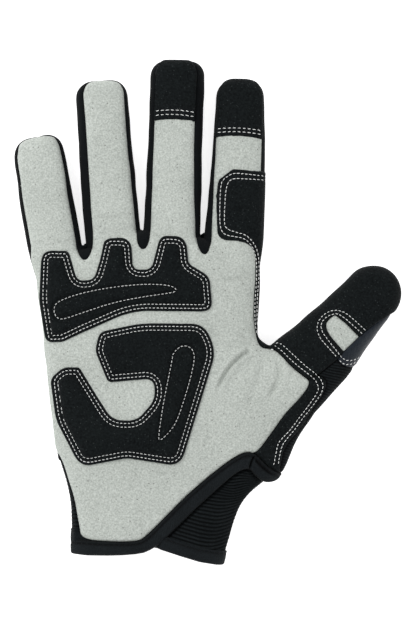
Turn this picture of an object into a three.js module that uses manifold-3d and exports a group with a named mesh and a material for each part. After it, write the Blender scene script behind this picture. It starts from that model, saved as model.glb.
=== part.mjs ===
import * as THREE from 'three';
import { mergeVertices } from 'three/addons/utils/BufferGeometryUtils.js';
import Module from 'manifold-3d';

// A right-hand work glove, size large, lying on its back with the palm side up.
// Sizes are in millimetres. +X points to the thumb, +Y to the fingertips, +Z out of the palm.
// The origin is under the middle of the glove's plan, on the surface that it lies on.

// Driving dimensions
const wall = 1.3;
const seamGap = 0.3;
const patchThick = 1.0;
const padFlange = 1.1;
const padHeight = 2.5;
const padFlangeWidth = 4.4;
const tapeThick = 1.0;
const cuffWall = 2.8;
const backEdge = 4;
const palmEdge = 9;
const patchEdge = 7;
const cuffTop = -71;
const hemTape = 5.5;
const creaseDepth = 0.6;
const tallest = 60;

// Section shape of every tube: a rounded rectangle, flat where it lies
const squareness = 2.6;
const flatUnder = 2.6;
const flatSpan = 0.93;
const fingerSides = 12;
const palmSides = 20;
const tipSteps = 3;
const arcSteps = 3;
const smallRound = 8.5;

// Shape of the ends and corners
const tipHalfThick = 2;
const frontRound = 0.9;
const frontStart = 3;
const pastTip = 6;
const belowFork = 9;
const cornerShare = 0.48;
const leastStretch = 0.5;

// Each finger, from inside the palm to its tip. A row is a section: how far along from root to tip,
// the edges left and right of the axis, the palm side seams left and right, and the thickness.
const fingers = {
  little: {
    root: [-70.6, 29.8], tip: [-81.6, 84.2], corner: 7.7,
    rows: [
      { along: -0.28, left: 14.4, right: 9.5, seamLeft: 13.9, seamRight: 8.3, thick: 16.5 },
      { along: 0.00, left: 15.7, right: 10.7, seamLeft: 13.9, seamRight: 8.3, thick: 17.5 },
      { along: 0.33, left: 15.6, right: 10.7, seamLeft: 13.8, seamRight: 8.5, thick: 16.5 },
      { along: 0.67, left: 14.3, right: 10.8, seamLeft: 12.8, seamRight: 9.6, thick: 15.5 },
      { along: 1.00, left: 12.7, right: 11.0, seamLeft: 11.4, seamRight: 9.6, thick: 14.0 },
    ],
  },
  ring: {
    root: [-46.1, 34.6], tip: [-51.8, 110.9], corner: 8,
    rows: [
      { along: -0.20, left: 12.0, right: 13.5, seamLeft: 9.0, seamRight: 12.9, thick: 17.5 },
      { along: 0.00, left: 13.3, right: 14.5, seamLeft: 9.0, seamRight: 12.9, thick: 18.5 },
      { along: 0.33, left: 13.1, right: 13.5, seamLeft: 8.9, seamRight: 11.8, thick: 17.5 },
      { along: 0.67, left: 12.7, right: 12.7, seamLeft: 8.6, seamRight: 11.0, thick: 16.5 },
      { along: 1.00, left: 12.3, right: 12.6, seamLeft: 8.8, seamRight: 11.4, thick: 14.5 },
    ],
  },
  middle: {
    root: [-17.3, 35.5], tip: [-14.4, 121.0], corner: 7.7,
    rows: [
      { along: -0.18, left: 13.5, right: 13.0, seamLeft: 10.5, seamRight: 11.8, thick: 18.0 },
      { along: 0.00, left: 14.8, right: 14.2, seamLeft: 10.5, seamRight: 11.8, thick: 19.0 },
      { along: 0.25, left: 13.5, right: 13.4, seamLeft: 10.6, seamRight: 10.2, thick: 18.5 },
      { along: 0.58, left: 13.0, right: 13.0, seamLeft: 10.5, seamRight: 9.2, thick: 17.5 },
      { along: 1.00, left: 13.2, right: 13.2, seamLeft: 10.5, seamRight: 9.5, thick: 15.0 },
    ],
  },
  index: {
    root: [11.5, 34.6], tip: [14.9, 111.8], corner: 7.7,
    rows: [
      { along: -0.20, left: 13.0, right: 12.6, seamLeft: 10.2, seamRight: 12.7, thick: 18.0 },
      { along: 0.00, left: 14.1, right: 14.2, seamLeft: 10.2, seamRight: 12.7, thick: 19.0 },
      { along: 0.33, left: 11.9, right: 14.0, seamLeft: 10.2, seamRight: 12.7, thick: 18.0 },
      { along: 0.58, left: 11.3, right: 13.7, seamLeft: 10.2, seamRight: 12.6, thick: 17.0 },
      { along: 1.00, left: 10.2, right: 12.0, seamLeft: 9.2, seamRight: 11.2, thick: 14.5 },
    ],
  },
  thumb: {
    root: [40.3, -33.6], tip: [87.8, 19.5], corner: 12.5,
    rows: [
      { along: -0.20, left: 16.0, right: 17.4, thick: 22.5 },
      { along: 0.00, left: 19.2, right: 18.0, thick: 24.0 },
      { along: 0.14, left: 19.2, right: 17.4, thick: 23.0 },
      { along: 0.27, left: 17.0, right: 17.5, thick: 22.0 },
      { along: 0.54, left: 14.8, right: 15.2, thick: 20.0 },
      { along: 1.00, left: 12.6, right: 13.3, thick: 16.5 },
    ],
  },
};

// The hand's body from the wrist to the roots of the fingers, a row for each section
const palmRows = [
  { at: -126, left: -66.0, right: 9.0, thick: 21.0 },
  { at: -98, left: -66.0, right: 17.0, thick: 22.0 },
  { at: -88, left: -67.0, right: 28.0, thick: 22.5 },
  { at: -67, left: -72.2, right: 39.2, thick: 25.0 },
  { at: -44, left: -75.6, right: 52.5, thick: 26.5 },
  { at: -38, left: -76.2, right: 49.0, thick: 26.5 },
  { at: -21, left: -78.4, right: 31.0, thick: 26.0 },
  { at: -15, left: -78.7, right: 25.5, thick: 25.5 },
  { at: -9, left: -79.4, right: 23.2, thick: 25.0 },
  { at: 14, left: -82.8, right: 23.6, thick: 22.5 },
];
const webReach = 39.5;
const webRound = 7;
const webMiddle = -25;
const webBow = 0.0082;
const webBowWidth = 34;

// The elastic cuff, which narrows under the palm's bound edge
const cuffRows = [
  { at: -64, left: -72.8, right: 40.0, thick: 25.0 },
  { at: -72, left: -71.2, right: 36.0, thick: 24.4 },
  { at: -84, left: -68.0, right: 22.4, thick: 22.8 },
  { at: -92, left: -66.3, right: 15.6, thick: 22.2 },
  { at: -102, left: -66.0, right: 11.6, thick: 21.8 },
  { at: -126, left: -66.0, right: 6.0, thick: 21.0 },
];
const hemLine = [[-80, -110.6], [-38, -111], [-25, -112.8], [20, -123.3]];

// Seams of the palm panel that no finger table holds, each going round the panel clockwise
const palmSide = [[-60.6, -108.6], [-61.9, -102], [-64.1, -90], [-68.2, -79], [-72, -67], [-74, -62],
  [-82, -56], [-86, -20], [-88, 6]];
const crotches = [[-58.6, 25], [-31, 30], [-1.4, 27.6]];
const indexEdge = [[24.2, 20], [22.8, 8], [22.4, -4], [22.8, -10], [25.2, -15.8], [30.9, -17.2]];
const thumbSeam = [[33.8, -19.5], [39.6, -25.9], [45.5, -30.6], [49.4, -33.6]];
const stripSeam = [[43.2, -42.2], [36.7, -48.6], [30.3, -57.9], [23, -67.9]];

// The tape that binds the palm's lower edge: straight, up the diagonal, over the hump and down
const tapeUpper = [[-72, -109], [-60.4, -109], [-47.5, -109.7], [-33.9, -109.6], [-29.8, -107.5],
  [-20.2, -97.6], [-9.1, -86.5], [1.8, -77.2], [12.9, -69.5], [19, -67.4], [23, -68.4],
  [27.4, -73.6], [31.3, -77], [34.3, -75.5], [37.2, -71.6]];
const tapeLower = [[38.8, -73.5], [35.2, -78.5], [32.8, -80.9], [29.3, -81.8], [25.9, -80.9],
  [22.1, -77.5], [19.5, -74.9], [10.1, -81.6], [1.8, -89.3], [-9.1, -98.7], [-18.5, -108],
  [-25.2, -112.8], [-34, -116.6], [-72, -116.6]];

// Thumb panels
const stripEdge = [[52.3, -30], [56.2, -31.7], [56.9, -36.5], [48.5, -49], [45.1, -55.4],
  [36.5, -64.6], [34.6, -75.1]];
const windowEdge = [[62.9, -2.2], [72.3, -12], [64.7, -19.2], [60.6, -14.3], [57.1, -9.6],
  [56.5, -5.6], [58.8, -3.3]];
const sideSeam = [[72.3, -12], [75.4, -9.1], [81.6, -4.8], [89.8, 0]];
const sideHem = [[76, -25.6], [71, -26.6], [68.2, -26.9], [64.7, -25.9], [61.7, -22.8]];

// Outlines with rounded corners: a row gives the corner and its radius
const knucklePad = [
  { x: -79.7, y: 29.5, round: 4 }, { x: -66.0, y: 29.5, round: 3 }, { x: -61.9, y: 13.4, round: 4 },
  { x: -55.0, y: 14.9, round: 4.5 }, { x: -51.6, y: 24.0, round: 9 }, { x: -49.4, y: 35.0, round: 4 },
  { x: -36.7, y: 34.8, round: 4.5 }, { x: -34.8, y: 20.9, round: 3.5 }, { x: -27.1, y: 20.6, round: 4.5 },
  { x: -22.6, y: 35.5, round: 4 }, { x: -10.1, y: 35.8, round: 5.5 }, { x: -9.1, y: 23.0, round: 2.5 },
  { x: 0.5, y: 16.3, round: 5 }, { x: 2.2, y: 0.5, round: 5 }, { x: -32.6, y: 1.0, round: 25 },
  { x: -59.0, y: -9.6, round: 12 }, { x: -69.1, y: -14.4, round: 7 }, { x: -77.3, y: -14.9, round: 4 },
  { x: -80.6, y: 5.8, round: 30 },
];
const heelPad = [
  { x: -52.6, y: -10.0, round: 3 }, { x: -1.4, y: -5.0, round: 8 }, { x: 2.9, y: -18.2, round: 10 },
  { x: -13.7, y: -73.4, round: 7 }, { x: -38.7, y: -70.4, round: 12 }, { x: -59.5, y: -73.0, round: 6 },
  { x: -71.0, y: -50.9, round: 18 }, { x: -74.6, y: -27.0, round: 6 }, { x: -60.5, y: -26.5, round: 3 },
  { x: -42.7, y: -52.6, round: 8 }, { x: -34.6, y: -52.6, round: 5 }, { x: -25.0, y: -41.3, round: 7 },
  { x: -26.9, y: -32.2, round: 4 }, { x: -48.2, y: -33.1, round: 2.5 }, { x: -54.0, y: -19.2, round: 8 },
];
const saddle = [
  { x: 11.8, y: 68.5, round: 2 }, { x: 42.0, y: 66.4, round: 1 }, { x: 42.0, y: -6.0, round: 1 },
  { x: 29.4, y: -9.0, round: 0.5 }, { x: 29.4, y: -17.4, round: 0.5 }, { x: 24.2, y: -17.4, round: 3 },
  { x: 21.2, y: -2.0, round: 12 }, { x: 22.9, y: 18.0, round: 12 }, { x: 21.8, y: 34.8, round: 9 },
  { x: 4.4, y: 34.8, round: 5 }, { x: 3.9, y: 56.0, round: 4 }, { x: 5.0, y: 63.3, round: 2 },
];
const caps = { middle: 92.2, index: 84.4 };
const capCrown = 0.8;

// Soft creases that run from the fork of the thumb into the palm
const creases = [
  { from: [20.5, -18.6], to: [3.9, -38.8], bend: [9.2, -25.2], wide: 1.3 },
  { from: [32.6, -22], to: [28.2, -42.6], bend: [35.5, -33], wide: 1.1 },
];

const wasm = await Module();
wasm.setup();

// Solids from closed geometries, and back
function solidOf(geometry) {
  const bare = geometry.clone();
  bare.deleteAttribute('normal');
  bare.deleteAttribute('uv');
  const merged = mergeVertices(bare, 1e-5);
  const vertProperties = new Float32Array(merged.attributes.position.array);
  const triVerts = new Uint32Array(merged.index.array);
  return new wasm.Manifold(new wasm.Mesh({ numProp: 3, vertProperties, triVerts }));
}

function geometryOf(solid) {
  const mesh = solid.getMesh();
  const geometry = new THREE.BufferGeometry();
  const positions = new Float32Array(mesh.numVert * 3);
  for (let i = 0; i < mesh.numVert; i += 1) {
    for (let k = 0; k < 3; k += 1) {
      positions[i * 3 + k] = mesh.vertProperties[i * mesh.numProp + k];
    }
  }
  geometry.setAttribute('position', new THREE.BufferAttribute(positions, 3));
  geometry.setIndex([...mesh.triVerts]);
  geometry.computeVertexNormals();
  return geometry;
}

function joined(solids) {
  return solids.reduce((whole, next) => whole.add(next));
}

function largestOf(solid) {
  const bodies = solid.decompose();
  return bodies.reduce((best, next) => (next.volume() > best.volume() ? next : best));
}

// A closed skin over rings of points, with a fan over each end
function loft(rings) {
  const sides = rings[0].length;
  const positions = rings.flat().flatMap((p) => [p.x, p.y, p.z]);
  const faces = [];
  for (let i = 0; i + 1 < rings.length; i += 1) {
    for (let k = 0; k < sides; k += 1) {
      const a = i * sides + k;
      const b = i * sides + ((k + 1) % sides);
      faces.push(a, b, b + sides, a, b + sides, a + sides);
    }
  }
  for (const end of [0, rings.length - 1]) {
    const middle = new THREE.Vector3();
    rings[end].forEach((p) => middle.addScaledVector(p, 1 / sides));
    const hub = positions.length / 3;
    positions.push(middle.x, middle.y, middle.z);
    for (let k = 0; k < sides; k += 1) {
      const a = end * sides + k;
      const b = end * sides + ((k + 1) % sides);
      faces.push(...(end === 0 ? [b, a, hub] : [a, b, hub]));
    }
  }
  const geometry = new THREE.BufferGeometry();
  geometry.setAttribute('position', new THREE.Float32BufferAttribute(positions, 3));
  geometry.setIndex(faces);
  return solidOf(geometry);
}

// One section: half a width across, a thickness, and how far the skin is grown outwards
function section(sides, halfWide, thick, grow, inset, place) {
  const ring = [];
  const half = thick / 2;
  for (let k = 0; k < sides; k += 1) {
    const turn = (2 * Math.PI * k) / sides;
    if (Math.sin(turn) < -flatSpan) {
      continue;
    }
    const wide = Math.sign(Math.cos(turn)) * Math.abs(Math.cos(turn)) ** (2 / squareness);
    const high = Math.sign(Math.sin(turn)) * Math.abs(Math.sin(turn)) ** (2 / squareness);
    const reach = half + grow - inset + (high < 0 ? flatUnder : 0);
    const floor = Math.max(0, -grow);
    ring.push(place(wide * (halfWide + grow), Math.max(half + high * reach, floor)));
  }
  return ring;
}

// Values of a table between its rows
function between(rows, key, at) {
  const last = rows.length - 1;
  const found = rows.findIndex((row) => row[key] >= at);
  const upper = Math.min(found < 0 ? last : Math.max(found, 1), last);
  const a = rows[upper - 1];
  const b = rows[upper];
  const share = THREE.MathUtils.clamp((at - a[key]) / (b[key] - a[key]), 0, 1);
  const row = {};
  for (const name of Object.keys(a)) {
    row[name] = THREE.MathUtils.lerp(a[name], b[name], share);
  }
  return row;
}

// Plan position at a distance along a finger and to the right of its axis
function onFinger(finger, along, right) {
  const root = new THREE.Vector2(...finger.root);
  const axis = new THREE.Vector2(...finger.tip).sub(root).normalize();
  const across = new THREE.Vector2(axis.y, -axis.x);
  return root.addScaledVector(axis, along).addScaledVector(across, right);
}

function fingerLength(finger) {
  return new THREE.Vector2(...finger.tip).distanceTo(new THREE.Vector2(...finger.root));
}

function fingerTube(finger, grow) {
  const length = fingerLength(finger);
  const bodyEnd = length - finger.corner;
  const stations = finger.rows
    .filter((row) => row.along < 1)
    .map((row, i) => ({ along: row.along * length - (i === 0 ? grow : 0), inset: 0 }));
  for (let step = 0; step <= tipSteps; step += 1) {
    const turn = (Math.PI / 2) * (step / tipSteps);
    const along = bodyEnd + (finger.corner + grow) * Math.sin(turn);
    stations.push({ along, inset: 1 - Math.cos(turn) });
  }
  const rings = stations.map(({ along, inset }) => {
    const row = between(finger.rows, 'along', along / length);
    const halfWide = (row.left + row.right) / 2 - inset * (finger.corner + grow);
    const centre = (row.right - row.left) / 2;
    const roundOver = inset * (row.thick / 2 - tipHalfThick + grow);
    return section(fingerSides, halfWide, row.thick, grow, roundOver, (wide, high) => {
      const plan = onFinger(finger, along, centre + wide);
      return new THREE.Vector3(plan.x, plan.y, high);
    });
  });
  return loft(rings.reverse());
}

function bodyTube(rows, grow, closed) {
  const stations = rows.map((row) => ({ ...row, inset: 0, bow: 0 }));
  if (closed) {
    const last = rows[rows.length - 1];
    for (let step = 0; step <= tipSteps; step += 1) {
      const turn = (Math.PI / 2) * (step / tipSteps);
      const at = webReach - webRound + (webRound + grow) * Math.sin(turn);
      const inset = (1 - Math.cos(turn)) * (last.thick / 2 - tipHalfThick + grow);
      stations.push({ ...last, at, inset, bow: webBow });
    }
  }
  const rings = stations.map((row) => {
    const halfWide = (row.right - row.left) / 2;
    const centre = (row.right + row.left) / 2;
    return section(palmSides, halfWide, row.thick, grow, row.inset, (wide, high) => {
      const x = centre + wide;
      const aside = Math.min(Math.abs(x - webMiddle), webBowWidth);
      return new THREE.Vector3(x, row.at - row.bow * aside ** 2, high);
    });
  });
  return loft(rings[0][0].y < rings[1][0].y ? rings.reverse() : rings);
}

// The whole outer form of the hand, grown or shrunk by a distance
function handForm(grow) {
  const tubes = Object.values(fingers).map((finger) => fingerTube(finger, grow));
  return joined([bodyTube(palmRows, grow, true), ...tubes]);
}

function cuffForm(grow) {
  return bodyTube(cuffRows, grow, false);
}

// Plan outlines
function pointsOf(pairs) {
  return pairs.map(([x, y]) => new THREE.Vector2(x, y));
}

function roundedOutline(rows) {
  const corners = rows.map((row) => new THREE.Vector2(row.x, row.y));
  const outline = [];
  rows.forEach((row, i) => {
    const corner = corners[i];
    const back = corners[(i + rows.length - 1) % rows.length].clone().sub(corner);
    const ahead = corners[(i + 1) % rows.length].clone().sub(corner);
    const half = Math.abs(back.angleTo(ahead)) / 2;
    const wanted = row.round / Math.tan(half);
    const reach = Math.min(wanted, back.length() * cornerShare, ahead.length() * cornerShare);
    const start = corner.clone().add(back.setLength(reach));
    const end = corner.clone().add(ahead.setLength(reach));
    const bend = new THREE.QuadraticBezierCurve(start, corner, end);
    outline.push(...bend.getPoints(row.round < smallRound ? 2 : arcSteps));
  });
  return outline;
}

// An outline moved outwards by a distance, or inwards by a negative one
function grown(outline, distance) {
  const way = Math.sign(THREE.ShapeUtils.area(outline));
  return outline.map((point, i) => {
    const before = outline[(i + outline.length - 1) % outline.length];
    const after = outline[(i + 1) % outline.length];
    const first = point.clone().sub(before).normalize();
    const second = after.clone().sub(point).normalize();
    const normal = new THREE.Vector2(first.y + second.y, -first.x - second.x);
    const stretch = Math.max(normal.length() / 2, leastStretch);
    return point.clone().addScaledVector(normal.normalize(), (way * distance) / stretch);
  });
}

// Corner rows moved inwards: an outward corner gets sharper and an inward one rounder
function insetRows(rows, distance) {
  const corners = rows.map((row) => new THREE.Vector2(row.x, row.y));
  const way = Math.sign(THREE.ShapeUtils.area(corners));
  return grown(corners, -distance).map((moved, i) => {
    const back = corners[i].clone().sub(corners[(i + rows.length - 1) % rows.length]);
    const ahead = corners[(i + 1) % rows.length].clone().sub(corners[i]);
    const outward = Math.sign(back.cross(ahead)) === way;
    const round = outward ? Math.max(rows[i].round - distance, 1) : rows[i].round + distance;
    return { x: moved.x, y: moved.y, round };
  });
}

function prism(outline, bottom, top) {
  const shape = new THREE.Shape(outline);
  const geometry = new THREE.ExtrudeGeometry(shape, { depth: top - bottom, bevelEnabled: false });
  geometry.translate(0, 0, bottom);
  return solidOf(geometry);
}

function column(outline, bottom = -tallest) {
  return prism(outline, bottom, tallest);
}

// Palm side outline of a finger, from a distance along it to its tip
function fingerFront(finger, start) {
  const length = fingerLength(finger);
  const bodyEnd = length - finger.corner;
  const levels = [start, (start + bodyEnd) / 2, bodyEnd];
  const leftSide = levels.map((along) => {
    return onFinger(finger, along, -between(finger.rows, 'along', along / length).seamLeft);
  });
  const rightSide = levels.map((along) => {
    return onFinger(finger, along, between(finger.rows, 'along', along / length).seamRight);
  });
  const end = between(finger.rows, 'along', 1);
  const tip = [];
  for (let step = -arcSteps; step <= arcSteps; step += 1) {
    if (Math.abs(step) < arcSteps) {
      const turn = (Math.PI / 2) * (step / arcSteps);
      const side = step < 0 ? end.seamLeft : end.seamRight;
      const inwards = finger.corner * frontRound * (1 - Math.abs(Math.sin(turn)));
      const across = Math.sign(turn) * (side - inwards);
      tip.push(onFinger(finger, bodyEnd + (finger.corner + 1) * Math.cos(turn), across));
    }
  }
  return [...leftSide, ...tip, ...rightSide.reverse()];
}

// A fork between two fingers, as a curve that just reaches its lowest point
function fork(from, lowest, to) {
  const middle = from.clone().add(to).multiplyScalar(0.5);
  const control = lowest.clone().multiplyScalar(2).sub(middle);
  return new THREE.QuadraticBezierCurve(from, control, to).getPoints(arcSteps * 2).slice(1, -1);
}

function palmOutline() {
  const fronts = ['little', 'ring', 'middle', 'index'].map((name) => {
    return fingerFront(fingers[name], frontStart);
  });
  const outline = pointsOf(palmSide);
  fronts.forEach((front, i) => {
    outline.push(...front);
    if (i < crotches.length) {
      const lowest = new THREE.Vector2(...crotches[i]);
      outline.push(...fork(front[front.length - 1], lowest, fronts[i + 1][0]));
    }
  });
  const lowerEdge = tapeUpper.slice(2, 10).reverse();
  outline.push(...pointsOf([...indexEdge, ...thumbSeam, ...stripSeam, ...lowerEdge]));
  return outline;
}

// A slim leaf along a curve, for a crease
function leaf({ from, to, bend, wide }) {
  const ends = pointsOf([from, bend, to]);
  const curve = new THREE.QuadraticBezierCurve(...ends);
  const steps = 4;
  const left = [];
  const right = [];
  for (let i = 1; i < steps; i += 1) {
    const tangent = curve.getTangent(i / steps);
    const across = new THREE.Vector2(tangent.y, -tangent.x);
    const half = (wide / 2) * Math.sin((Math.PI * i) / steps);
    left.push(curve.getPoint(i / steps).addScaledVector(across, -half));
    right.push(curve.getPoint(i / steps).addScaledVector(across, half));
  }
  return [ends[0], ...left, ends[2], ...right.reverse()];
}

// The forms that the pieces are cut from
const skinForm = handForm(0);
const innerForm = handForm(-wall);
const skin = skinForm.subtract(innerForm);
const patchBase = handForm(seamGap);
const patchForm = handForm(seamGap + patchThick);
const fullCuff = cuffForm(0);

const palmPlan = palmOutline();
const tapePlan = pointsOf([...tapeUpper, ...tapeLower]);
const halfGap = seamGap / 2;

function keep(solid, outline, bottom) {
  return solid.intersect(column(grown(outline, -halfGap), bottom));
}

function clear(solid, outline, bottom) {
  return solid.subtract(column(grown(outline, halfGap), bottom));
}

// Cloth panels of the hand
function palmPanel() {
  const shallow = skinForm.subtract(handForm(-creaseDepth));
  const panel = keep(skin, palmPlan, palmEdge);
  const marks = creases.map((crease) => shallow.intersect(column(leaf(crease), palmEdge)));
  return largestOf(panel.subtract(joined(marks)));
}

function backPanel() {
  const plan = pointsOf([[-120, cuffTop], [-120, 140], [120, 140], [120, cuffTop]]);
  return skin.intersect(prism(grown(plan, -halfGap), -1, backEdge - halfGap));
}

function sideBand(plan) {
  const band = keep(skin, plan, backEdge + halfGap);
  return largestOf(clear(band, palmPlan, palmEdge - seamGap));
}

// A point just past a fingertip, where two side panels meet
function axisEnd(finger) {
  return onFinger(finger, fingerLength(finger) + pastTip, 0);
}

function forchette(first, second, lowest) {
  const plan = [axisEnd(first), onFinger(first, -belowFork, 0), onFinger(second, -belowFork, 0),
    axisEnd(second)];
  plan[1].y = Math.min(plan[1].y, lowest[1] - belowFork);
  plan[2].y = Math.min(plan[2].y, lowest[1] - belowFork);
  return sideBand(plan);
}

function littleSide() {
  const plan = [axisEnd(fingers.little),
    ...pointsOf([[-110, 110], [-110, cuffTop], [-60, cuffTop]]),
    onFinger(fingers.little, -belowFork, 0)];
  return sideBand(plan);
}

function indexSide() {
  const plan = [axisEnd(fingers.index), onFinger(fingers.index, 0, 0),
    ...pointsOf([[11.5, -4], [20, -17.2], [29.4, -17.2], [29.4, -8], [45, 10], [45, 120]])];
  return sideBand(plan);
}

// Patches sewn on the palm side
function patch(outline, low) {
  return largestOf(patchForm.subtract(patchBase).intersect(column(outline, low)));
}

function pad(rows) {
  const outline = roundedOutline(rows);
  const flange = handForm(seamGap + padFlange).intersect(column(outline, patchEdge));
  const crown = handForm(seamGap + padHeight);
  const raised = crown.intersect(column(roundedOutline(insetRows(rows, padFlangeWidth)), patchEdge));
  return largestOf(flange.add(raised).subtract(patchBase));
}

function tipCap(name) {
  const finger = fingers[name];
  const start = caps[name] - finger.root[1];
  const outline = fingerFront(finger, start);
  const first = outline[0];
  const last = outline[outline.length - 1];
  const middle = first.clone().add(last).multiplyScalar(0.5);
  middle.y += capCrown;
  return patch([...outline, middle], palmEdge);
}

// Thumb
const sidePlan = pointsOf([...sideSeam, [98, 0], [92, -16], [79, -24.5], ...sideHem, [64.7, -19.2]]);
const gussetPlan = pointsOf([...sideHem.slice().reverse(), [79, -24.5], [86, -30], [66, -55],
  [48, cuffTop], [35.2, cuffTop], ...stripEdge.slice(1, 6).reverse(), [53.3, -29.4]]);
const stripPlan = pointsOf([[49.4, -33.6], ...stripEdge, [31.3, -77.5], [27.4, -74.1], [23, -68.4],
  ...stripSeam.slice().reverse()]);
const frontPlan = pointsOf([[30.9, -17.2], ...thumbSeam, [52.3, -30], [53.3, -29.4], [61.7, -22.8],
  [64.7, -19.2], ...sideSeam, [100, 0], [100, 34], [60, 34], [29.4, -6], [29.4, -16.4]]);

function thumbFront() {
  const front = keep(skin, frontPlan, backEdge + halfGap);
  return largestOf(clear(front, pointsOf(windowEdge), palmEdge));
}

function thumbPanel(plan, low) {
  return largestOf(clear(keep(skin, plan, low), tapePlan, palmEdge - seamGap));
}

// Bound edge of the palm and the cuff under it
function palmBinding() {
  const tape = handForm(tapeThick).subtract(innerForm);
  return largestOf(keep(tape, tapePlan, palmEdge));
}

function hemBand(top, bottom) {
  const upper = pointsOf(hemLine).map((p) => new THREE.Vector2(p.x, p.y + top));
  const lower = pointsOf(hemLine).map((p) => new THREE.Vector2(p.x, p.y + bottom));
  return [...upper, ...lower.reverse()];
}

function underPalm(solid) {
  const above = (outline) => column(grown(outline, seamGap), palmEdge - seamGap);
  const cover = above(palmPlan).add(above(tapePlan)).subtract(handForm(-wall - seamGap));
  return solid.subtract(cover);
}

function ribCuff() {
  const tube = fullCuff.subtract(cuffForm(-cuffWall));
  const plan = [...pointsOf([[-90, cuffTop - halfGap], [60, cuffTop - halfGap]]),
    ...hemBand(hemTape + seamGap, 0).slice(0, hemLine.length).reverse()];
  const open = underPalm(tube.intersect(column(plan)));
  const thumbEnd = joined([stripPlan, gussetPlan].map((p) => column(grown(p, seamGap), backEdge)));
  return largestOf(open.subtract(thumbEnd));
}

function cuffBinding() {
  const tape = cuffForm(tapeThick / 2).subtract(cuffForm(-cuffWall - tapeThick / 2));
  return largestOf(underPalm(tape.intersect(column(hemBand(hemTape, 0)))));
}

// Finishes
const finishes = {
  suede: { color: 0xb9beb8, roughness: 0.95 },
  leather: { color: 0x1a1d1e, roughness: 0.8 },
  stretch: { color: 0x17191b, roughness: 0.9 },
  satin: { color: 0x262f3a, roughness: 0.5 },
  tape: { color: 0x1f2325, roughness: 0.7 },
  ribbed: { color: 0x171b1c, roughness: 0.85 },
};

const glove = new THREE.Group();
glove.name = 'work_glove';

function add(name, solid, finish) {
  const material = new THREE.MeshStandardMaterial({ ...finishes[finish], metalness: 0 });
  const mesh = new THREE.Mesh(geometryOf(solid), material);
  mesh.name = name;
  glove.add(mesh);
}

add('palm_panel', palmPanel(), 'suede');
add('back_panel', backPanel(), 'stretch');
add('little_side', littleSide(), 'stretch');
add('forchette_little_ring', forchette(fingers.little, fingers.ring, crotches[0]), 'stretch');
add('forchette_ring_middle', forchette(fingers.ring, fingers.middle, crotches[1]), 'stretch');
add('forchette_middle_index', forchette(fingers.middle, fingers.index, crotches[2]), 'stretch');
add('index_side', indexSide(), 'stretch');
add('middle_tip_cap', tipCap('middle'), 'leather');
add('index_tip_cap', tipCap('index'), 'leather');
add('index_saddle', patch(roundedOutline(saddle), patchEdge), 'leather');
add('knuckle_pad', pad(knucklePad), 'leather');
add('heel_pad', pad(heelPad), 'leather');
add('thumb_front', thumbFront(), 'leather');
add('thumb_window', thumbPanel(pointsOf(windowEdge), palmEdge), 'suede');
add('thumb_side', thumbPanel(sidePlan, backEdge + halfGap), 'satin');
add('thumb_gusset', thumbPanel(gussetPlan, backEdge + halfGap), 'ribbed');
add('thumb_strip', thumbPanel(stripPlan, palmEdge), 'leather');
add('palm_binding', palmBinding(), 'tape');
add('rib_cuff', ribCuff(), 'ribbed');
add('cuff_binding', cuffBinding(), 'tape');

export default glove;
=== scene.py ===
import bpy
import math
import numpy as np
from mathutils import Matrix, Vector
from mathutils.bvhtree import BVHTree


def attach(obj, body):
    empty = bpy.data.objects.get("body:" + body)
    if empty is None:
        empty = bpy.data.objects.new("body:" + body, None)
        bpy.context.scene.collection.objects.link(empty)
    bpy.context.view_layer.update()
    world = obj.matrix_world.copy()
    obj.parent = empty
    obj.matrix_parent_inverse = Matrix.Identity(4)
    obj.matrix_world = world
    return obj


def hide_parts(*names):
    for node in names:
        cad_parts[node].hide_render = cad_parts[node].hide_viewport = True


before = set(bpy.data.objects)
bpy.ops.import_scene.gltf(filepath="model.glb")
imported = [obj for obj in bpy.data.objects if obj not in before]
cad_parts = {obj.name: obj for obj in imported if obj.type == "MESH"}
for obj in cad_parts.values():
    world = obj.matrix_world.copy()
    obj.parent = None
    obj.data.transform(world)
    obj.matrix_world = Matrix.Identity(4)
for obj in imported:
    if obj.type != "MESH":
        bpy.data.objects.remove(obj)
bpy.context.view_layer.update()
print("frame loaded with", len(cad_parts), "solids")

mm = 0.001  # sizes are in millimetres, like the solids, where nothing else is said

# Camera, floor and light

cameraView = {"lens": 200, "sensor": 36, "distance": 1.664, "lookedAt": 0.012}
floorLook = {"size": 6, "tone": (0.93, 0.93, 0.93), "glow": 0.72, "drop": 0.0002}
lightLook = {
    "sky": 0.70,
    "lamps": (  # place, size, power
        ((-0.75, 0.60, 0.95), 0.6, 9.5),
        ((0.65, -0.1, 1.25), 1.1, 3.0),
        ((0.0, -0.8, 0.9), 0.8, 1.2),
    ),
}


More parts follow.
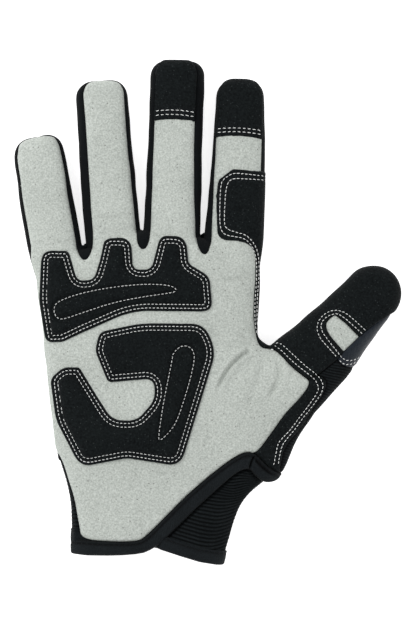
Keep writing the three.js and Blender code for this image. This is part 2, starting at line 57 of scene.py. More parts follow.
def makeStudio():
    height = cameraView["distance"] + cameraView["lookedAt"]
    bpy.ops.object.camera_add(location=(0, 0, height), rotation=(0, 0, 0))
    camera = bpy.context.object
    camera.data.lens = cameraView["lens"]
    camera.data.sensor_width = cameraView["sensor"]
    camera.data.clip_start = 0.05
    camera.data.dof.use_dof = False
    bpy.context.scene.camera = camera

    bpy.ops.mesh.primitive_plane_add(size=floorLook["size"], location=(0, 0, -floorLook["drop"]))
    floor = bpy.context.object
    floor.name = "paleFloor"
    paint = bpy.data.materials.new("palePaper")
    paint.use_nodes = True
    shader = paint.node_tree.nodes["Principled BSDF"]
    shader.inputs["Base Color"].default_value = (*floorLook["tone"], 1)
    shader.inputs["Roughness"].default_value = 0.9
    shader.inputs["Specular IOR Level"].default_value = 0.2
    shader.inputs["Emission Color"].default_value = (1, 1, 1, 1)
    shader.inputs["Emission Strength"].default_value = floorLook["glow"]
    floor.data.materials.append(paint)

    sky = bpy.data.worlds.new("softRoom")
    sky.use_nodes = True
    sky.node_tree.nodes["Background"].inputs["Color"].default_value = (1, 1, 1, 1)
    sky.node_tree.nodes["Background"].inputs["Strength"].default_value = lightLook["sky"]
    bpy.context.scene.world = sky
    for place, size, power in lightLook["lamps"]:
        bpy.ops.object.light_add(type="AREA", location=place)
        lamp = bpy.context.object
        lamp.data.size = size
        lamp.data.energy = power
        lamp.rotation_euler = (-Vector(place)).to_track_quat("-Z", "Y").to_euler()
    bpy.context.scene.view_settings.view_transform = "Standard"
    bpy.context.scene.view_settings.look = "None"


makeStudio()
print("camera, floor and lamps are in place")

# The form of the glove. Each row of a finger: how far along from root to tip, the edges left
# and right of the axis, the seams left and right on the palm side, and the thickness

fingers = {
    "little": {"root": (-70.6, 29.8), "tip": (-81.7, 84.6), "corner": 7.7, "rows": (
        (-0.28, 14.4, 9.5, 13.9, 8.3, 16.5),
        (0.00, 15.7, 10.3, 13.9, 8.3, 17.5),
        (0.33, 15.6, 10.6, 13.8, 8.5, 16.5),
        (0.67, 14.3, 10.8, 12.8, 9.6, 15.5),
        (1.00, 12.7, 11.0, 11.4, 9.6, 14.0))},
    "ring": {"root": (-46.1, 34.6), "tip": (-51.8, 111.4), "corner": 8.0, "rows": (
        (-0.20, 12.0, 13.5, 9.0, 12.4, 17.5),
        (0.00, 12.8, 13.9, 9.0, 12.4, 18.5),
        (0.33, 13.1, 13.5, 8.9, 11.7, 17.5),
        (0.67, 12.7, 12.7, 8.6, 11.0, 16.5),
        (1.00, 12.3, 12.6, 8.8, 11.4, 14.5))},
    "middle": {"root": (-17.3, 35.5), "tip": (-14.4, 121.0), "corner": 7.7, "rows": (
        (-0.18, 13.5, 13.0, 10.5, 11.8, 18.0),
        (0.00, 13.9, 13.5, 10.5, 11.8, 19.0),
        (0.25, 13.5, 13.4, 10.6, 10.2, 18.5),
        (0.58, 13.0, 13.0, 10.5, 9.2, 17.5),
        (1.00, 13.2, 13.2, 10.5, 9.5, 15.0))},
    "index": {"root": (11.5, 34.6), "tip": (14.9, 112.0), "corner": 7.7, "rows": (
        (-0.20, 13.0, 13.2, 10.2, 12.7, 18.0),
        (0.00, 13.5, 14.9, 10.2, 12.7, 19.0),
        (0.33, 11.9, 14.7, 10.2, 12.7, 18.0),
        (0.58, 11.3, 14.1, 10.2, 12.6, 17.0),
        (1.00, 10.2, 12.0, 9.2, 11.2, 14.5))},
    "thumb": {"root": (40.3, -33.6), "tip": (87.6, 19.3), "corner": 12.5, "rows": (
        (-0.20, 16.0, 17.4, 0, 0, 22.5),
        (0.00, 19.0, 18.2, 0, 0, 24.0),
        (0.14, 18.7, 18.0, 0, 0, 23.0),
        (0.27, 16.4, 18.3, 0, 0, 22.0),
        (0.42, 15.3, 17.0, 0, 0, 21.0),
        (0.54, 13.9, 15.4, 0, 0, 20.0),
        (1.00, 11.6, 13.3, 0, 0, 16.5))},
}
# Each row of the palm and of the cuff: its level, left and right edge, and thickness
palmRows = (
    (-126, -65.6, 9.0, 21.0), (-98, -65.6, 17.0, 22.0), (-88, -66.9, 28.0, 22.5),
    (-78, -70.0, 35.2, 23.6), (-74, -71.3, 37.5, 24.0), (-67, -72.9, 40.1, 25.0),
    (-60, -73.9, 43.2, 25.5), (-50, -75.0, 50.4, 26.2), (-44, -75.9, 53.6, 26.5),
    (-38, -76.4, 49.6, 26.5), (-18.0, -78.6, 34.0, 25.9), (-15.1, -78.8, 23.6, 25.5),
    (-9, -79.2, 23.5, 25.0), (14, -82.6, 24.8, 22.5))
cuffRows = (
    (-126, -65.4, 6.0, 21.0), (-102, -65.4, 11.6, 21.8), (-92, -65.7, 15.4, 22.2),
    (-84, -67.4, 22.6, 22.8), (-80, -68.6, 28.0, 23.2), (-72, -70.8, 36.0, 24.4),
    (-64, -72.4, 40.0, 25.0))
web = {"reach": 39.5, "round": 7, "middle": -25, "bow": 0.0082, "width": 34}
section = {"squareness": 2.6, "flatUnder": 2.6, "tipThick": 2, "sides": 80, "step": 1.5,
           "endRings": 12, "easeLength": 7.0}
formLook = {"voxel": 0.0008, "softenPasses": 26, "gapShare": 0.08, "gapWide": 3.6}
fingerGaps = (((-58.9, 29), (-60.6, 45), (-62.4, 62)), ((-31.2, 38), (-31.9, 52), (-32.6, 66)),
              ((-2.1, 33), (-1.9, 48), (-1.4, 66)))
levels = {"backEdge": 4.0, "palmEdge": 9.0, "patchEdge": 7.0, "cuffTop": -71.0, "gap": 0.1}


def easedTable(at, rows, column):
    # values between the rows, with the corners rounded off
    spread = np.linspace(-0.5, 0.5, 9) * section["easeLength"]
    table = np.array(rows, float)
    return np.mean([np.interp(at + s, table[:, 0], table[:, column]) for s in spread], axis=0)


def ringAt(halfWide, thick, roundOver=0.0, turn=None):
    # one section of a tube: across and up, flat where it lies
    if turn is None:
        turn = np.linspace(0, 2 * np.pi, section["sides"], endpoint=False)
    power = 2 / section["squareness"]
    wide = np.sign(np.cos(turn)) * np.abs(np.cos(turn)) ** power * halfWide
    high = np.sign(np.sin(turn)) * np.abs(np.sin(turn)) ** power
    reach = thick / 2 - roundOver + np.where(high < 0, section["flatUnder"], 0)
    return wide, np.maximum(thick / 2 + high * reach, 0)


def fingerAxis(finger):
    root, tip = np.array(finger["root"]), np.array(finger["tip"])
    length = np.linalg.norm(tip - root)
    axis = (tip - root) / length
    return root, axis, np.array((axis[1], -axis[0])), length


def onFinger(finger, along, right):
    root, axis, across, _ = fingerAxis(finger)
    return root + np.multiply.outer(along, axis) + np.multiply.outer(right, across)


def fingerTable(finger, alongs, columns):
    length = fingerAxis(finger)[3]
    rows = [(row[0] * length, *row[1:]) for row in finger["rows"]]
    return [easedTable(alongs, rows, k) for k in columns]


def fingerRings(finger):
    root, axis, across, length = fingerAxis(finger)
    bodyEnd = length - finger["corner"]
    turns = np.linspace(0, math.pi / 2, section["endRings"])
    straight = np.arange(finger["rows"][0][0] * length, bodyEnd, section["step"])
    alongs = np.concatenate([straight, bodyEnd + finger["corner"] * np.sin(turns)])
    insets = np.concatenate([np.zeros(len(straight)), 1 - np.cos(turns)])
    left, right, thick = fingerTable(finger, alongs, (1, 2, 5))
    rings = []
    for i, along in enumerate(alongs):
        halfWide = (left[i] + right[i]) / 2 - insets[i] * finger["corner"]
        wide, high = ringAt(halfWide, thick[i], insets[i] * (thick[i] / 2 - section["tipThick"]))
        plan = root + axis * along + np.outer((right[i] - left[i]) / 2 + wide, across)
        rings.append(np.column_stack([plan, high]))
    return rings


def bodyRings():
    straight = np.arange(palmRows[0][0], palmRows[-1][0], section["step"])
    webbed = np.arange(palmRows[-1][0], web["reach"] - web["round"], section["step"])
    turns = np.linspace(0, math.pi / 2, section["endRings"])
    rim = web["reach"] - web["round"] + web["round"] * np.sin(turns)
    at = np.concatenate([straight, webbed, rim])
    bow = np.interp(at, (palmRows[-1][0], web["reach"] - web["round"]), (0, web["bow"]))
    inset = np.concatenate([np.zeros(len(straight) + len(webbed)), 1 - np.cos(turns)])
    left, right, thick = (easedTable(at, palmRows, k) for k in (1, 2, 3))
    rings = []
    for i, level in enumerate(at):
        wide, high = ringAt((right[i] - left[i]) / 2, thick[i],
                            inset[i] * (thick[i] / 2 - section["tipThick"]))
        x = (right[i] + left[i]) / 2 + wide
        aside = np.minimum(np.abs(x - web["middle"]), web["width"])
        rings.append(np.column_stack([x, level - bow[i] * aside ** 2, high]))
    return rings


def tubeFaces(rings, sides, start=0, joined=False):
    # faces between the rings of a tube; where it is joined, the last ring meets the first
    a = np.arange(sides)
    b = (a + 1) % sides
    rows = []
    for i in range(rings if joined else rings - 1):
        low = start + i * sides
        high = start + (i + 1) % rings * sides
        rows.append(np.column_stack([a + low, b + low, b + high, a + high]))
    return np.concatenate(rows)


def closedTube(rings, start):
    sides = len(rings[0])
    around = np.arange(sides)
    ends = [list(start + around[::-1]), list(start + (len(rings) - 1) * sides + around)]
    return ends + tubeFaces(len(rings), sides, start).tolist()


def readMesh(mesh):
    points = np.zeros(len(mesh.vertices) * 3)
    mesh.vertices.foreach_get("co", points)
    faces = np.array([tuple(p.vertices) if len(p.vertices) == 4 else tuple(p.vertices) + (-1,)
                      for p in mesh.polygons], int)
    return points.reshape(-1, 3) / mm, faces


def nearLine(line, points):
    # distance from an open line, and how far along it from 0 to 1
    line = np.array(line, float)
    steps = np.linalg.norm(np.diff(line, axis=0), axis=1)
    starts = np.concatenate([[0], np.cumsum(steps)])
    best, along = np.full(len(points), 1e9), np.zeros(len(points))
    for i, step in enumerate(steps):
        way = (line[i + 1] - line[i]) / step
        off = points[:, :2] - line[i]
        t = np.clip(off @ way, 0, step)
        gap = np.linalg.norm(off - t[:, None] * way, axis=1)
        along = np.where(gap < best, starts[i] + t, along)
        best = np.minimum(best, gap)
    return best, along / starts[-1]


def cornersOf(faces):
    # each face's corners, without the -1 that fills up a triangle
    rows = faces.tolist() if isinstance(faces, np.ndarray) else faces
    return [[i for i in row if i >= 0] for row in rows]


def pick(piece):
    bpy.ops.object.select_all(action="DESELECT")
    piece.select_set(True)
    bpy.context.view_layer.objects.active = piece


def newObject(name, points, faces):
    mesh = bpy.data.meshes.new(name)
    mesh.from_pydata((points * mm).tolist(), [], cornersOf(faces))
    mesh.update()
    piece = bpy.data.objects.new(name, mesh)
    bpy.context.scene.collection.objects.link(piece)
    pick(piece)
    return piece


def applied(piece, kind, **settings):
    modifier = piece.modifiers.new(kind.lower(), kind)
    for key, value in settings.items():
        setattr(modifier, key, value)
    pick(piece)
    bpy.ops.object.modifier_apply(modifier=modifier.name)


def treeOf(points, faces):
    return BVHTree.FromPolygons(points.tolist(), cornersOf(faces))


def makeForm():
    points, faces = [], []
    for rings in [bodyRings()] + [fingerRings(finger) for finger in fingers.values()]:
        faces += closedTube(rings, sum(len(p) for p in points))
        points += rings
    glove = newObject("gloveForm", np.concatenate(points), faces)
    glove.data.remesh_voxel_size = formLook["voxel"]
    bpy.ops.object.voxel_remesh()
    points, _ = readMesh(glove.data)
    gap = np.minimum.reduce([nearLine(line, points)[0] for line in fingerGaps])
    soft = glove.vertex_groups.new(name="soft")
    soft.add(np.flatnonzero(gap >= formLook["gapWide"]).tolist(), 1.0, "REPLACE")
    soft.add(np.flatnonzero(gap < formLook["gapWide"]).tolist(), formLook["gapShare"], "REPLACE")
    applied(glove, "SMOOTH", factor=0.5, iterations=formLook["softenPasses"], vertex_group="soft")
    points, faces = readMesh(glove.data)
    points[:, 2] -= points[:, 2].min()
    bpy.data.objects.remove(glove)
    return {"points": points, "faces": faces, "tree": treeOf(points, faces)}


form = makeForm()
print("the form has", len(form["faces"]), "faces, highest", round(form["points"][:, 2].max(), 1))

# Outlines, as seen from above

palmSide = ((-60.6, -108.6), (-61.9, -102), (-64.1, -90), (-67.3, -79), (-69.6, -72.5),
            (-72.4, -67), (-80, -61), (-86, -20), (-88, 6))
crotches = ((-58.6, 25), (-31, 30), (-1.4, 27.6))
forkWide = 3.4
indexEdge = ((24.2, 20), (22.8, 8), (22.4, -4), (22.9, -11), (25.2, -16.4), (30.9, -17.4))
thumbSeam = ((33.8, -19.5), (39.6, -25.9), (45.5, -30.6), (49.4, -33.6))
stripSeam = ((43.2, -42.2), (36.7, -48.6), (30.3, -57.9), (23, -67.9))
tapeUpper = ((-72, -109), (-60.4, -109), (-47.5, -109.7), (-33.9, -109.6), (-29.8, -107.5),
             (-20.2, -97.6), (-9.1, -86.5), (1.8, -77.2), (12.4, -69.2), (18.6, -66.4), (23, -67.6),
             (27.2, -72.4), (31.3, -75.9), (36.4, -77.4))
tapeLower = ((35.4, -79.2), (32.6, -80.9), (29.3, -81.8), (25.9, -81.2), (22.2, -78.0),
             (19.5, -74.4), (13.4, -76.8), (5.2, -84.0), (-3.0, -91.3), (-12.0, -100.2),
             (-19.5, -107.6), (-25.2, -112.7), (-34, -116.5), (-72, -116.5))
stripEdge = ((52.3, -30), (56.2, -31.7), (56.9, -36.5), (48.5, -49), (45.1, -55.4),
             (36.5, -64.6), (34.6, -75.1))
windowEdge = ((61.6, -0.9), (80.0, -19.6), (72.0, -26.4), (60.6, -14.3), (57.1, -9.6),
              (56.0, -5.6), (58.4, -2.6))
sideSeam = ((72.3, -12), (75.4, -9.1), (81.6, -4.8), (89.8, 0))
sideHem = ((76, -25.6), (71, -26.6), (68.2, -26.9), (64.7, -25.9), (61.7, -22.8))
hemLine = ((-80, -110.6), (-38, -111), (-25, -112.8), (-12, -117.1), (-4, -119.6), (4, -121.1),
           (20, -122.6))
# corner, and how round it is
knuckleCorners = (
    (-79.7, 29.7, 5.5), (-66.5, 29.3, 3.5), (-62.2, 14.9, 4), (-54.5, 15.7, 4.5), (-51.8, 24.5, 9),
    (-49.3, 35.3, 4), (-36.6, 35.2, 5.5), (-35.6, 20.5, 3.5), (-27.1, 20.3, 4.5),
    (-23.1, 36.3, 4.5), (-10.2, 36.0, 7.5), (-9.2, 23.2, 4), (0.9, 17.1, 7), (2.4, 0.0, 5),
    (-36.0, 0.4, 40), (-59.0, -9.6, 12), (-69.1, -14.4, 7), (-77.3, -14.9, 4), (-80.6, 5.8, 30))
heelCorners = (
    (-51.8, -9.4, 5), (-32.0, -5.2, 50), (-1.6, -5.4, 10), (4.0, -19.0, 17), (-13.0, -73.8, 8),
    (-38.7, -69.8, 16), (-61.0, -74.2, 8), (-72.5, -52.0, 26), (-75.3, -31.6, 6),
    (-69.2, -26.2, 8), (-61.3, -26.2, 2.5), (-45.6, -51.3, 9), (-34.0, -51.5, 9),
    (-25.2, -41.5, 12), (-26.0, -31.8, 4.5), (-47.7, -33.7, 3), (-54.0, -18.4, 8))
saddleCorners = (
    (11.8, 68.6, 2), (42.0, 66.4, 1), (42.0, -6.0, 1), (31.6, -9.0, 0.5), (31.6, -17.4, 0.5),
    (25.4, -17.2, 4), (22.9, -12.0, 6), (21.8, -2.0, 14), (22.9, 33.0, 11), (4.2, 34.2, 6),
    (3.8, 56.0, 4), (4.9, 63.4, 2))
capStart = {"middle": 91.2, "index": 83.2}
crownBow = 1.6


def bowed(start, middle, end, t):
    t = t[:, None]
    return (1 - t) ** 2 * start + 2 * t * (1 - t) * middle + t * t * end


def roundedOutline(corners, steps=8):
    spots = np.array(corners, float)
    outline = []
    for i, (x, y, radius) in enumerate(spots):
        corner = np.array((x, y))
        back, ahead = spots[i - 1, :2] - corner, spots[(i + 1) % len(spots), :2] - corner
        backLong, aheadLong = np.linalg.norm(back), np.linalg.norm(ahead)
        half = math.acos(np.clip(back @ ahead / (backLong * aheadLong), -1, 1)) / 2
        reach = min(radius / max(math.tan(half), 1e-3), backLong * 0.48, aheadLong * 0.48)
        start, end = corner + back / backLong * reach, corner + ahead / aheadLong * reach
        outline.append(bowed(start, corner, end, np.linspace(0, 1, steps + 1)))
    return np.concatenate(outline)


def cutCorners(line, passes=2, closed=True):
    line = np.array(line, float)
    for _ in range(passes):
        ahead = np.roll(line, -1, axis=0)
        pairs = np.stack([line * 0.75 + ahead * 0.25, line * 0.25 + ahead * 0.75], axis=1)
        if closed:
            line = pairs.reshape(-1, 2)
        else:
            line = np.concatenate([line[:1], pairs[:-1].reshape(-1, 2), line[-1:]])
    return line


def fingerFront(finger, start):
    # the seam round the palm side of a finger, up one side and down the other
    corner = finger["corner"]
    bodyEnd = fingerAxis(finger)[3] - corner
    alongs = np.linspace(start, bodyEnd, 12)
    left, right = fingerTable(finger, alongs, (3, 4))
    left, right = onFinger(finger, alongs, -left), onFinger(finger, alongs, right)
    tip = []
    for turn in np.linspace(-math.pi / 2, math.pi / 2, 19)[1:-1]:
        side = finger["rows"][-1][3] if turn < 0 else finger["rows"][-1][4]
        inwards = corner * 0.9 * (1 - abs(math.sin(turn)))
        across = np.sign(round(turn, 6)) * (side - inwards)
        tip.append(onFinger(finger, bodyEnd + (corner + 1) * math.cos(turn), across))
    return np.concatenate([left, np.array(tip), right[::-1]])


def forkCurve(start, lowest, end):
    low = (lowest[1] - 0.125 * (start[1] + end[1])) / 0.75
    left, right = (np.array((lowest[0] + side * forkWide, low)) for side in (-1, 1))
    t = np.linspace(0, 1, 15)[1:-1, None]
    return ((1 - t) ** 3 * start + 3 * t * (1 - t) ** 2 * left + 3 * t * t * (1 - t) * right
            + t ** 3 * end)


def makePalmOutline():
    fronts = [fingerFront(fingers[name], 3) for name in ("little", "ring", "middle", "index")]
    parts = [np.array(palmSide)]
    for i, front in enumerate(fronts):
        parts.append(front)
        if i < len(crotches):
            parts.append(forkCurve(front[-1], crotches[i], fronts[i + 1][0]))
    parts += [np.array(indexEdge), np.array(thumbSeam), np.array(stripSeam),
              np.array(tapeUpper[2:10][::-1])]
    return cutCorners(np.concatenate(parts), 2)


def capFront(name, over=0):
    return fingerFront(fingers[name], capStart[name] - fingers[name]["root"][1] + over)


def crown(start, end, t):
    # the bowed lower edge of a fingertip cap
    return bowed(start, (start + end) / 2 + np.array((0, crownBow)), end, t)


def capOutline(name):
    front = capFront(name)
    return np.concatenate([front, crown(front[-1], front[0], np.linspace(0, 1, 9)[1:-1])])


def pastTip(finger, clear=6):
    return onFinger(finger, fingerAxis(finger)[3] + clear, 0)


def forkPlan(first, second, lowest, below=9):
    plan = [pastTip(fingers[first]), onFinger(fingers[first], -below, 0),
            onFinger(fingers[second], -below, 0), pastTip(fingers[second])]
    for spot in plan[1:3]:
        spot[1] = min(spot[1], lowest[1] - below)
    return np.array(plan)


outlines = {
    "palm": makePalmOutline(),
    "tape": cutCorners(tapeUpper + tapeLower, 2),
    "window": cutCorners(windowEdge, 1),
    "knuckle": roundedOutline(knuckleCorners),
    "heel": roundedOutline(heelCorners),
    "saddle": roundedOutline(saddleCorners),
    "middleCap": capOutline("middle"),
    "indexCap": capOutline("index"),
    "littleSide": np.array([pastTip(fingers["little"]), (-110, 110), (-110, -71.4), (-60, -71.4),
                            onFinger(fingers["little"], -9, 0)]),
    "littleRing": forkPlan("little", "ring", crotches[0]),
    "ringMiddle": forkPlan("ring", "middle", crotches[1]),
    "middleIndex": forkPlan("middle", "index", crotches[2]),
    "indexSide": np.array([pastTip(fingers["index"]), onFinger(fingers["index"], 0, 0),
                           (11.5, -4), (20, -17.2), (29.4, -17.2), (29.4, -8), (45, 10),
                           (45, 120)]),
    "thumbSide": np.concatenate([cutCorners(sideSeam, 2, False), [(98, 0), (92, -16), (79, -24.5)],
                                 cutCorners(sideHem, 2, False), [(64.7, -19.2)]]),
    "thumbFront": np.array([(30.9, -17.2), (33.0, -19.0), (43, -34), (52.3, -30), (53.3, -29.4),
                            (61.7, -22.8), (64.7, -19.2), (72.3, -12), (75.4, -9.1),
                            (81.6, -4.8), (89.8, 0), (100, 0), (100, 34), (60, 34), (29.4, -6),
                            (29.4, -16.4)]),
    "strip": cutCorners(((46, -30), (49.4, -31.5)) + stripEdge
                        + ((34.4, -79), (24, -79), (16, -68), (23, -55), (36, -38)), 1),
    "gusset": np.array([(61.7, -22.8), (64.7, -25.9), (68.2, -26.9), (71, -26.6), (76, -25.6),
                        (79, -24.5), (86, -30), (66, -55), (48, -79), (30, -79), (30, -55),
                        (45, -40), (53.3, -29.4)]),
}


def insideDistance(outline, points, margin=4.0):
    # how deep each point lies inside the outline, and negative outside it
    low, high = outline.min(axis=0) - margin, outline.max(axis=0) + margin
    near = np.all((points[:, :2] > low) & (points[:, :2] < high), axis=1)
    x, y = points[near, 0], points[near, 1]
    best, odd = np.full(len(x), 1e9), np.zeros(len(x), bool)
    ends = np.roll(outline, -1, axis=0)
    for (ax, ay), (bx, by) in zip(outline, ends):
        ex, ey = bx - ax, by - ay
        t = np.clip(((x - ax) * ex + (y - ay) * ey) / max(ex * ex + ey * ey, 1e-9), 0, 1)
        best = np.minimum(best, (x - ax - t * ex) ** 2 + (y - ay - t * ey) ** 2)
        if ay != by:
            odd ^= ((ay <= y) != (by <= y)) & (x < ax + (y - ay) / (by - ay) * ex)
    value = np.full(len(points), -margin)
    value[near] = np.where(odd, np.sqrt(best), -np.sqrt(best))
    return value


def inside(name, shrink=levels["gap"]):
    return lambda p: insideDistance(outlines[name], p) - shrink


def outside(name, low=-99):
    # clear of an outline wherever the surface is above a level
    return lambda p: np.maximum(-insideDistance(outlines[name], p), low - p[:, 2]) - levels["gap"]


def above(low):
    return lambda p: p[:, 2] - low


def allOf(*regions):
    return lambda p: np.minimum.reduce([region(p) for region in regions])


palmLow = levels["palmEdge"]
sideLow = above(levels["backEdge"] + levels["gap"])
offPalm = allOf(outside("palm", palmLow), outside("tape", palmLow))

regions = {
    "palm": allOf(inside("palm"), above(palmLow + 0.1)),
    "back": lambda p: np.minimum(levels["backEdge"] - levels["gap"] - p[:, 2],
                                 p[:, 1] - levels["cuffTop"]),
    "thumbSide": allOf(inside("thumbSide"), sideLow),
    "thumbFront": allOf(inside("thumbFront"), sideLow, offPalm, outside("window", palmLow),
                        outside("thumbSide")),
    "window": allOf(inside("window"), above(palmLow), outside("thumbSide")),
    "strip": allOf(inside("strip"), above(palmLow), offPalm, outside("thumbFront")),
    "gusset": allOf(inside("gusset"), sideLow, offPalm, outside("strip", palmLow),
                    outside("thumbFront"), outside("thumbSide")),
    "tape": allOf(inside("tape", 0), above(palmLow)),
}
for name in ("littleSide", "littleRing", "ringMiddle", "middleIndex", "indexSide"):
    regions[name] = allOf(inside(name), sideLow, offPalm)
for name in ("middleCap", "indexCap"):
    regions[name] = allOf(inside(name), above(palmLow))
for name in ("saddle", "knuckle", "heel"):
    regions[name] = allOf(inside(name), above(levels["patchEdge"]))

# Cutting the pieces out of the form

cutLook = {"spare": 2.5, "passes": 7, "evenedIn": (1, 3), "evened": 0.6, "feel": 0.05,
           "longestSlide": 0.9, "foldedBack": 0.35}


def middles(points, faces):
    return points[np.where(faces < 0, faces[:, :1], faces)].mean(axis=1)


def tidied(points, faces):
    used = np.unique(faces[faces >= 0])
    place = np.full(len(points) + 1, -1)
    place[used] = np.arange(len(used))
    return points[used], np.where(faces < 0, -1, place[faces])


def largestPatch(points, faces):
    label = np.arange(len(points))
    filled = np.where(faces < 0, faces[:, :1], faces)
    while True:
        lowest = label[filled].min(axis=1)
        fresh = label.copy()
        for k in range(4):
            np.minimum.at(fresh, filled[:, k], lowest)
        fresh = fresh[fresh]
        if (fresh == label).all():
            break
        label = fresh
    names, counts = np.unique(label[filled[:, 0]], return_counts=True)
    return faces[label[filled[:, 0]] == names[counts.argmax()]]


def rimOf(faces):
    # the points of a patch's rim, and the two rim neighbours of each
    pairs = []
    for ring in cornersOf(faces):
        pairs += [(a, b) if a < b else (b, a) for a, b in zip(ring, ring[1:] + ring[:1])]
    edges, counts = np.unique(np.array(pairs), axis=0, return_counts=True)
    beside = {}
    for a, b in edges[counts == 1].tolist():
        beside.setdefault(a, []).append(b)
        beside.setdefault(b, []).append(a)
    rim = np.array(sorted(beside))
    return rim, np.array([(beside[i][0], beside[i][1]) for i in rim])


def unit(vectors):
    return vectors / np.maximum(np.linalg.norm(vectors, axis=1, keepdims=True), 1e-12)


def faceNormals(points, faces, even=True):
    filled = np.where(faces < 0, faces[:, 2:3], faces)
    corner = points[filled]
    facing = np.cross(corner[:, 2] - corner[:, 0], corner[:, 3] - corner[:, 1])
    facing = np.where(faces[:, 3:4] < 0, np.cross(corner[:, 1] - corner[:, 0],
                                                  corner[:, 2] - corner[:, 0]), facing)
    return unit(facing) if even else facing


def normalsOf(points, faces):
    filled = np.where(faces < 0, faces[:, 2:3], faces)
    facing = faceNormals(points, faces, even=False)
    normals = np.zeros_like(points)
    for k in range(4):
        np.add.at(normals, filled[:, k], facing)
    return unit(normals)


def refined(points, faces, times):
    piece = newObject("refining", points, faces)
    applied(piece, "SUBSURF", levels=times, render_levels=times)
    points, faces = readMesh(piece.data)
    bpy.data.objects.remove(piece)
    return points, faces


def slideRim(points, faces, tree, region):
    # slides the rim over the surface until it lies on the region's border, evenly spaced
    rim, beside = rimOf(faces)
    normals = np.array([tree.find_nearest(Vector(points[i]))[1] for i in rim])
    feel, evened = cutLook["feel"], cutLook["evened"]
    for turn in range(cutLook["passes"]):
        spots = points[rim]
        if turn in cutLook["evenedIn"]:
            between = (points[beside[:, 0]] + points[beside[:, 1]]) / 2
            spots = spots * (1 - evened) + between * evened
        value = region(spots)
        slope = np.stack([(region(spots + feel * e) - region(spots - feel * e)) / (2 * feel)
                          for e in np.eye(3)], axis=1)
        slope -= (slope * normals).sum(axis=1, keepdims=True) * normals
        size = np.maximum((slope ** 2).sum(axis=1, keepdims=True), 0.1)
        move = -value[:, None] * slope / size
        far = np.maximum(np.linalg.norm(move, axis=1, keepdims=True), 1e-9)
        points[rim] = spots + move * np.minimum(1, cutLook["longestSlide"] / far)
        for i in rim:
            points[i] = tree.find_nearest(Vector(points[i]))[0]
    return points


def cutPiece(name, times=0):
    region = regions[name]
    points, faces, tree = form["points"], form["faces"], form["tree"]
    points, faces = tidied(points, faces[region(middles(points, faces)) > -cutLook["spare"]])
    if times:
        points, faces = refined(points, faces, times)
        tree = treeOf(points, faces)
    faces = faces[region(middles(points, faces)) > 0]
    points, faces = tidied(points, largestPatch(points, faces))
    start = normalsOf(points, faces)
    points = slideRim(points, faces, tree, region)
    facing = (faceNormals(points, faces) * start[np.abs(faces)].mean(axis=1)).sum(axis=1)
    kept = faces[facing > cutLook["foldedBack"]]
    if len(kept) < len(faces):
        points, faces = tidied(points, largestPatch(points, kept))
    return points, faces


# Shapes in the surface


def waves(points, size, count=9, seed=3):
    # soft uneven rolling, from a few crossed waves
    dice = np.random.default_rng(seed)
    total = np.zeros(len(points))
    for _ in range(count):
        way = dice.normal(size=3)
        way *= 2 * math.pi / (size * dice.uniform(0.7, 1.6) * np.linalg.norm(way))
        total += np.sin(points @ way + dice.uniform(0, 2 * math.pi))
    return total / math.sqrt(count)


def rise(depth, reach):
    # from 0 at an edge to 1 at a distance from it, rounded like a turned edge
    t = np.clip(depth / reach, 0, 1)
    return np.sqrt(np.maximum(1 - (1 - t) ** 2, 0))


def ease(t):
    t = np.clip(t, 0, 1)
    return t * t * (3 - 2 * t)


def hollow(gap, wide):
    return np.exp(-(gap / wide) ** 2)


palmFolds = (  # line, depth, half width
    (((21.6, -17.6), (16.0, -20.6), (11.5, -25.0), (8.4, -29.0), (5.8, -34.0), (3.6, -40.5)),
     1.7, 0.85),
    (((32.6, -20.4), (34.3, -27.0), (34.1, -32.2), (31.4, -37.6), (28.0, -43.6)), 1.1, 1.2),
    (((20.6, -17.2), (13.0, -15.4), (6.5, -14.6)), 0.8, 1.3),
    (((22.0, -16.0), (14.0, -8.0), (8.0, -5.4)), 0.55, 1.5),
    (((27.0, -22.0), (24.0, -34.0), (18.0, -47.0)), 0.45, 1.8),
    (((-83.0, 33.0), (-76.0, 31.8), (-62.0, 33.4)), 0.35, 1.2),
    (((-56.0, 46.0), (-47.0, 43.6), (-35.0, 46.6)), 0.45, 1.3),
    (((-54.0, 40.5), (-50.0, 38.6), (-46.0, 39.0)), 0.2, 1.0),
    (((-27.0, 44.5), (-17.0, 42.6), (-6.0, 45.0)), 0.2, 1.3),
    (((1.5, 27.5), (9.0, 24.4), (19.0, 25.0)), 0.5, 1.2),
    (((4.0, 16.0), (12.0, 14.0), (21.0, 15.6)), 0.4, 1.3),
)


foldLook = {"fadeIn": 0.12, "fadeOut": 0.34, "lip": 0.42, "lipAt": 2.3, "lipWide": 1.2}
seamWide = 0.8


def foldsIn(points, folds):
    depth = np.zeros(len(points))
    for line, deep, wide in folds:
        gap, along = nearLine(cutCorners(line, 2, False), points)
        fade = ease(along / foldLook["fadeIn"]) * ease((1 - along) / foldLook["fadeOut"])
        lips = foldLook["lip"] * hollow(gap - foldLook["lipAt"] * wide, foldLook["lipWide"] * wide)
        depth += deep * fade * (lips - hollow(gap, wide))
    return depth


def seamDip(depth, deep):
    return -deep * hollow(depth, seamWide)


# Finishes. Sizes are in grains for each millimetre, tones are linear.

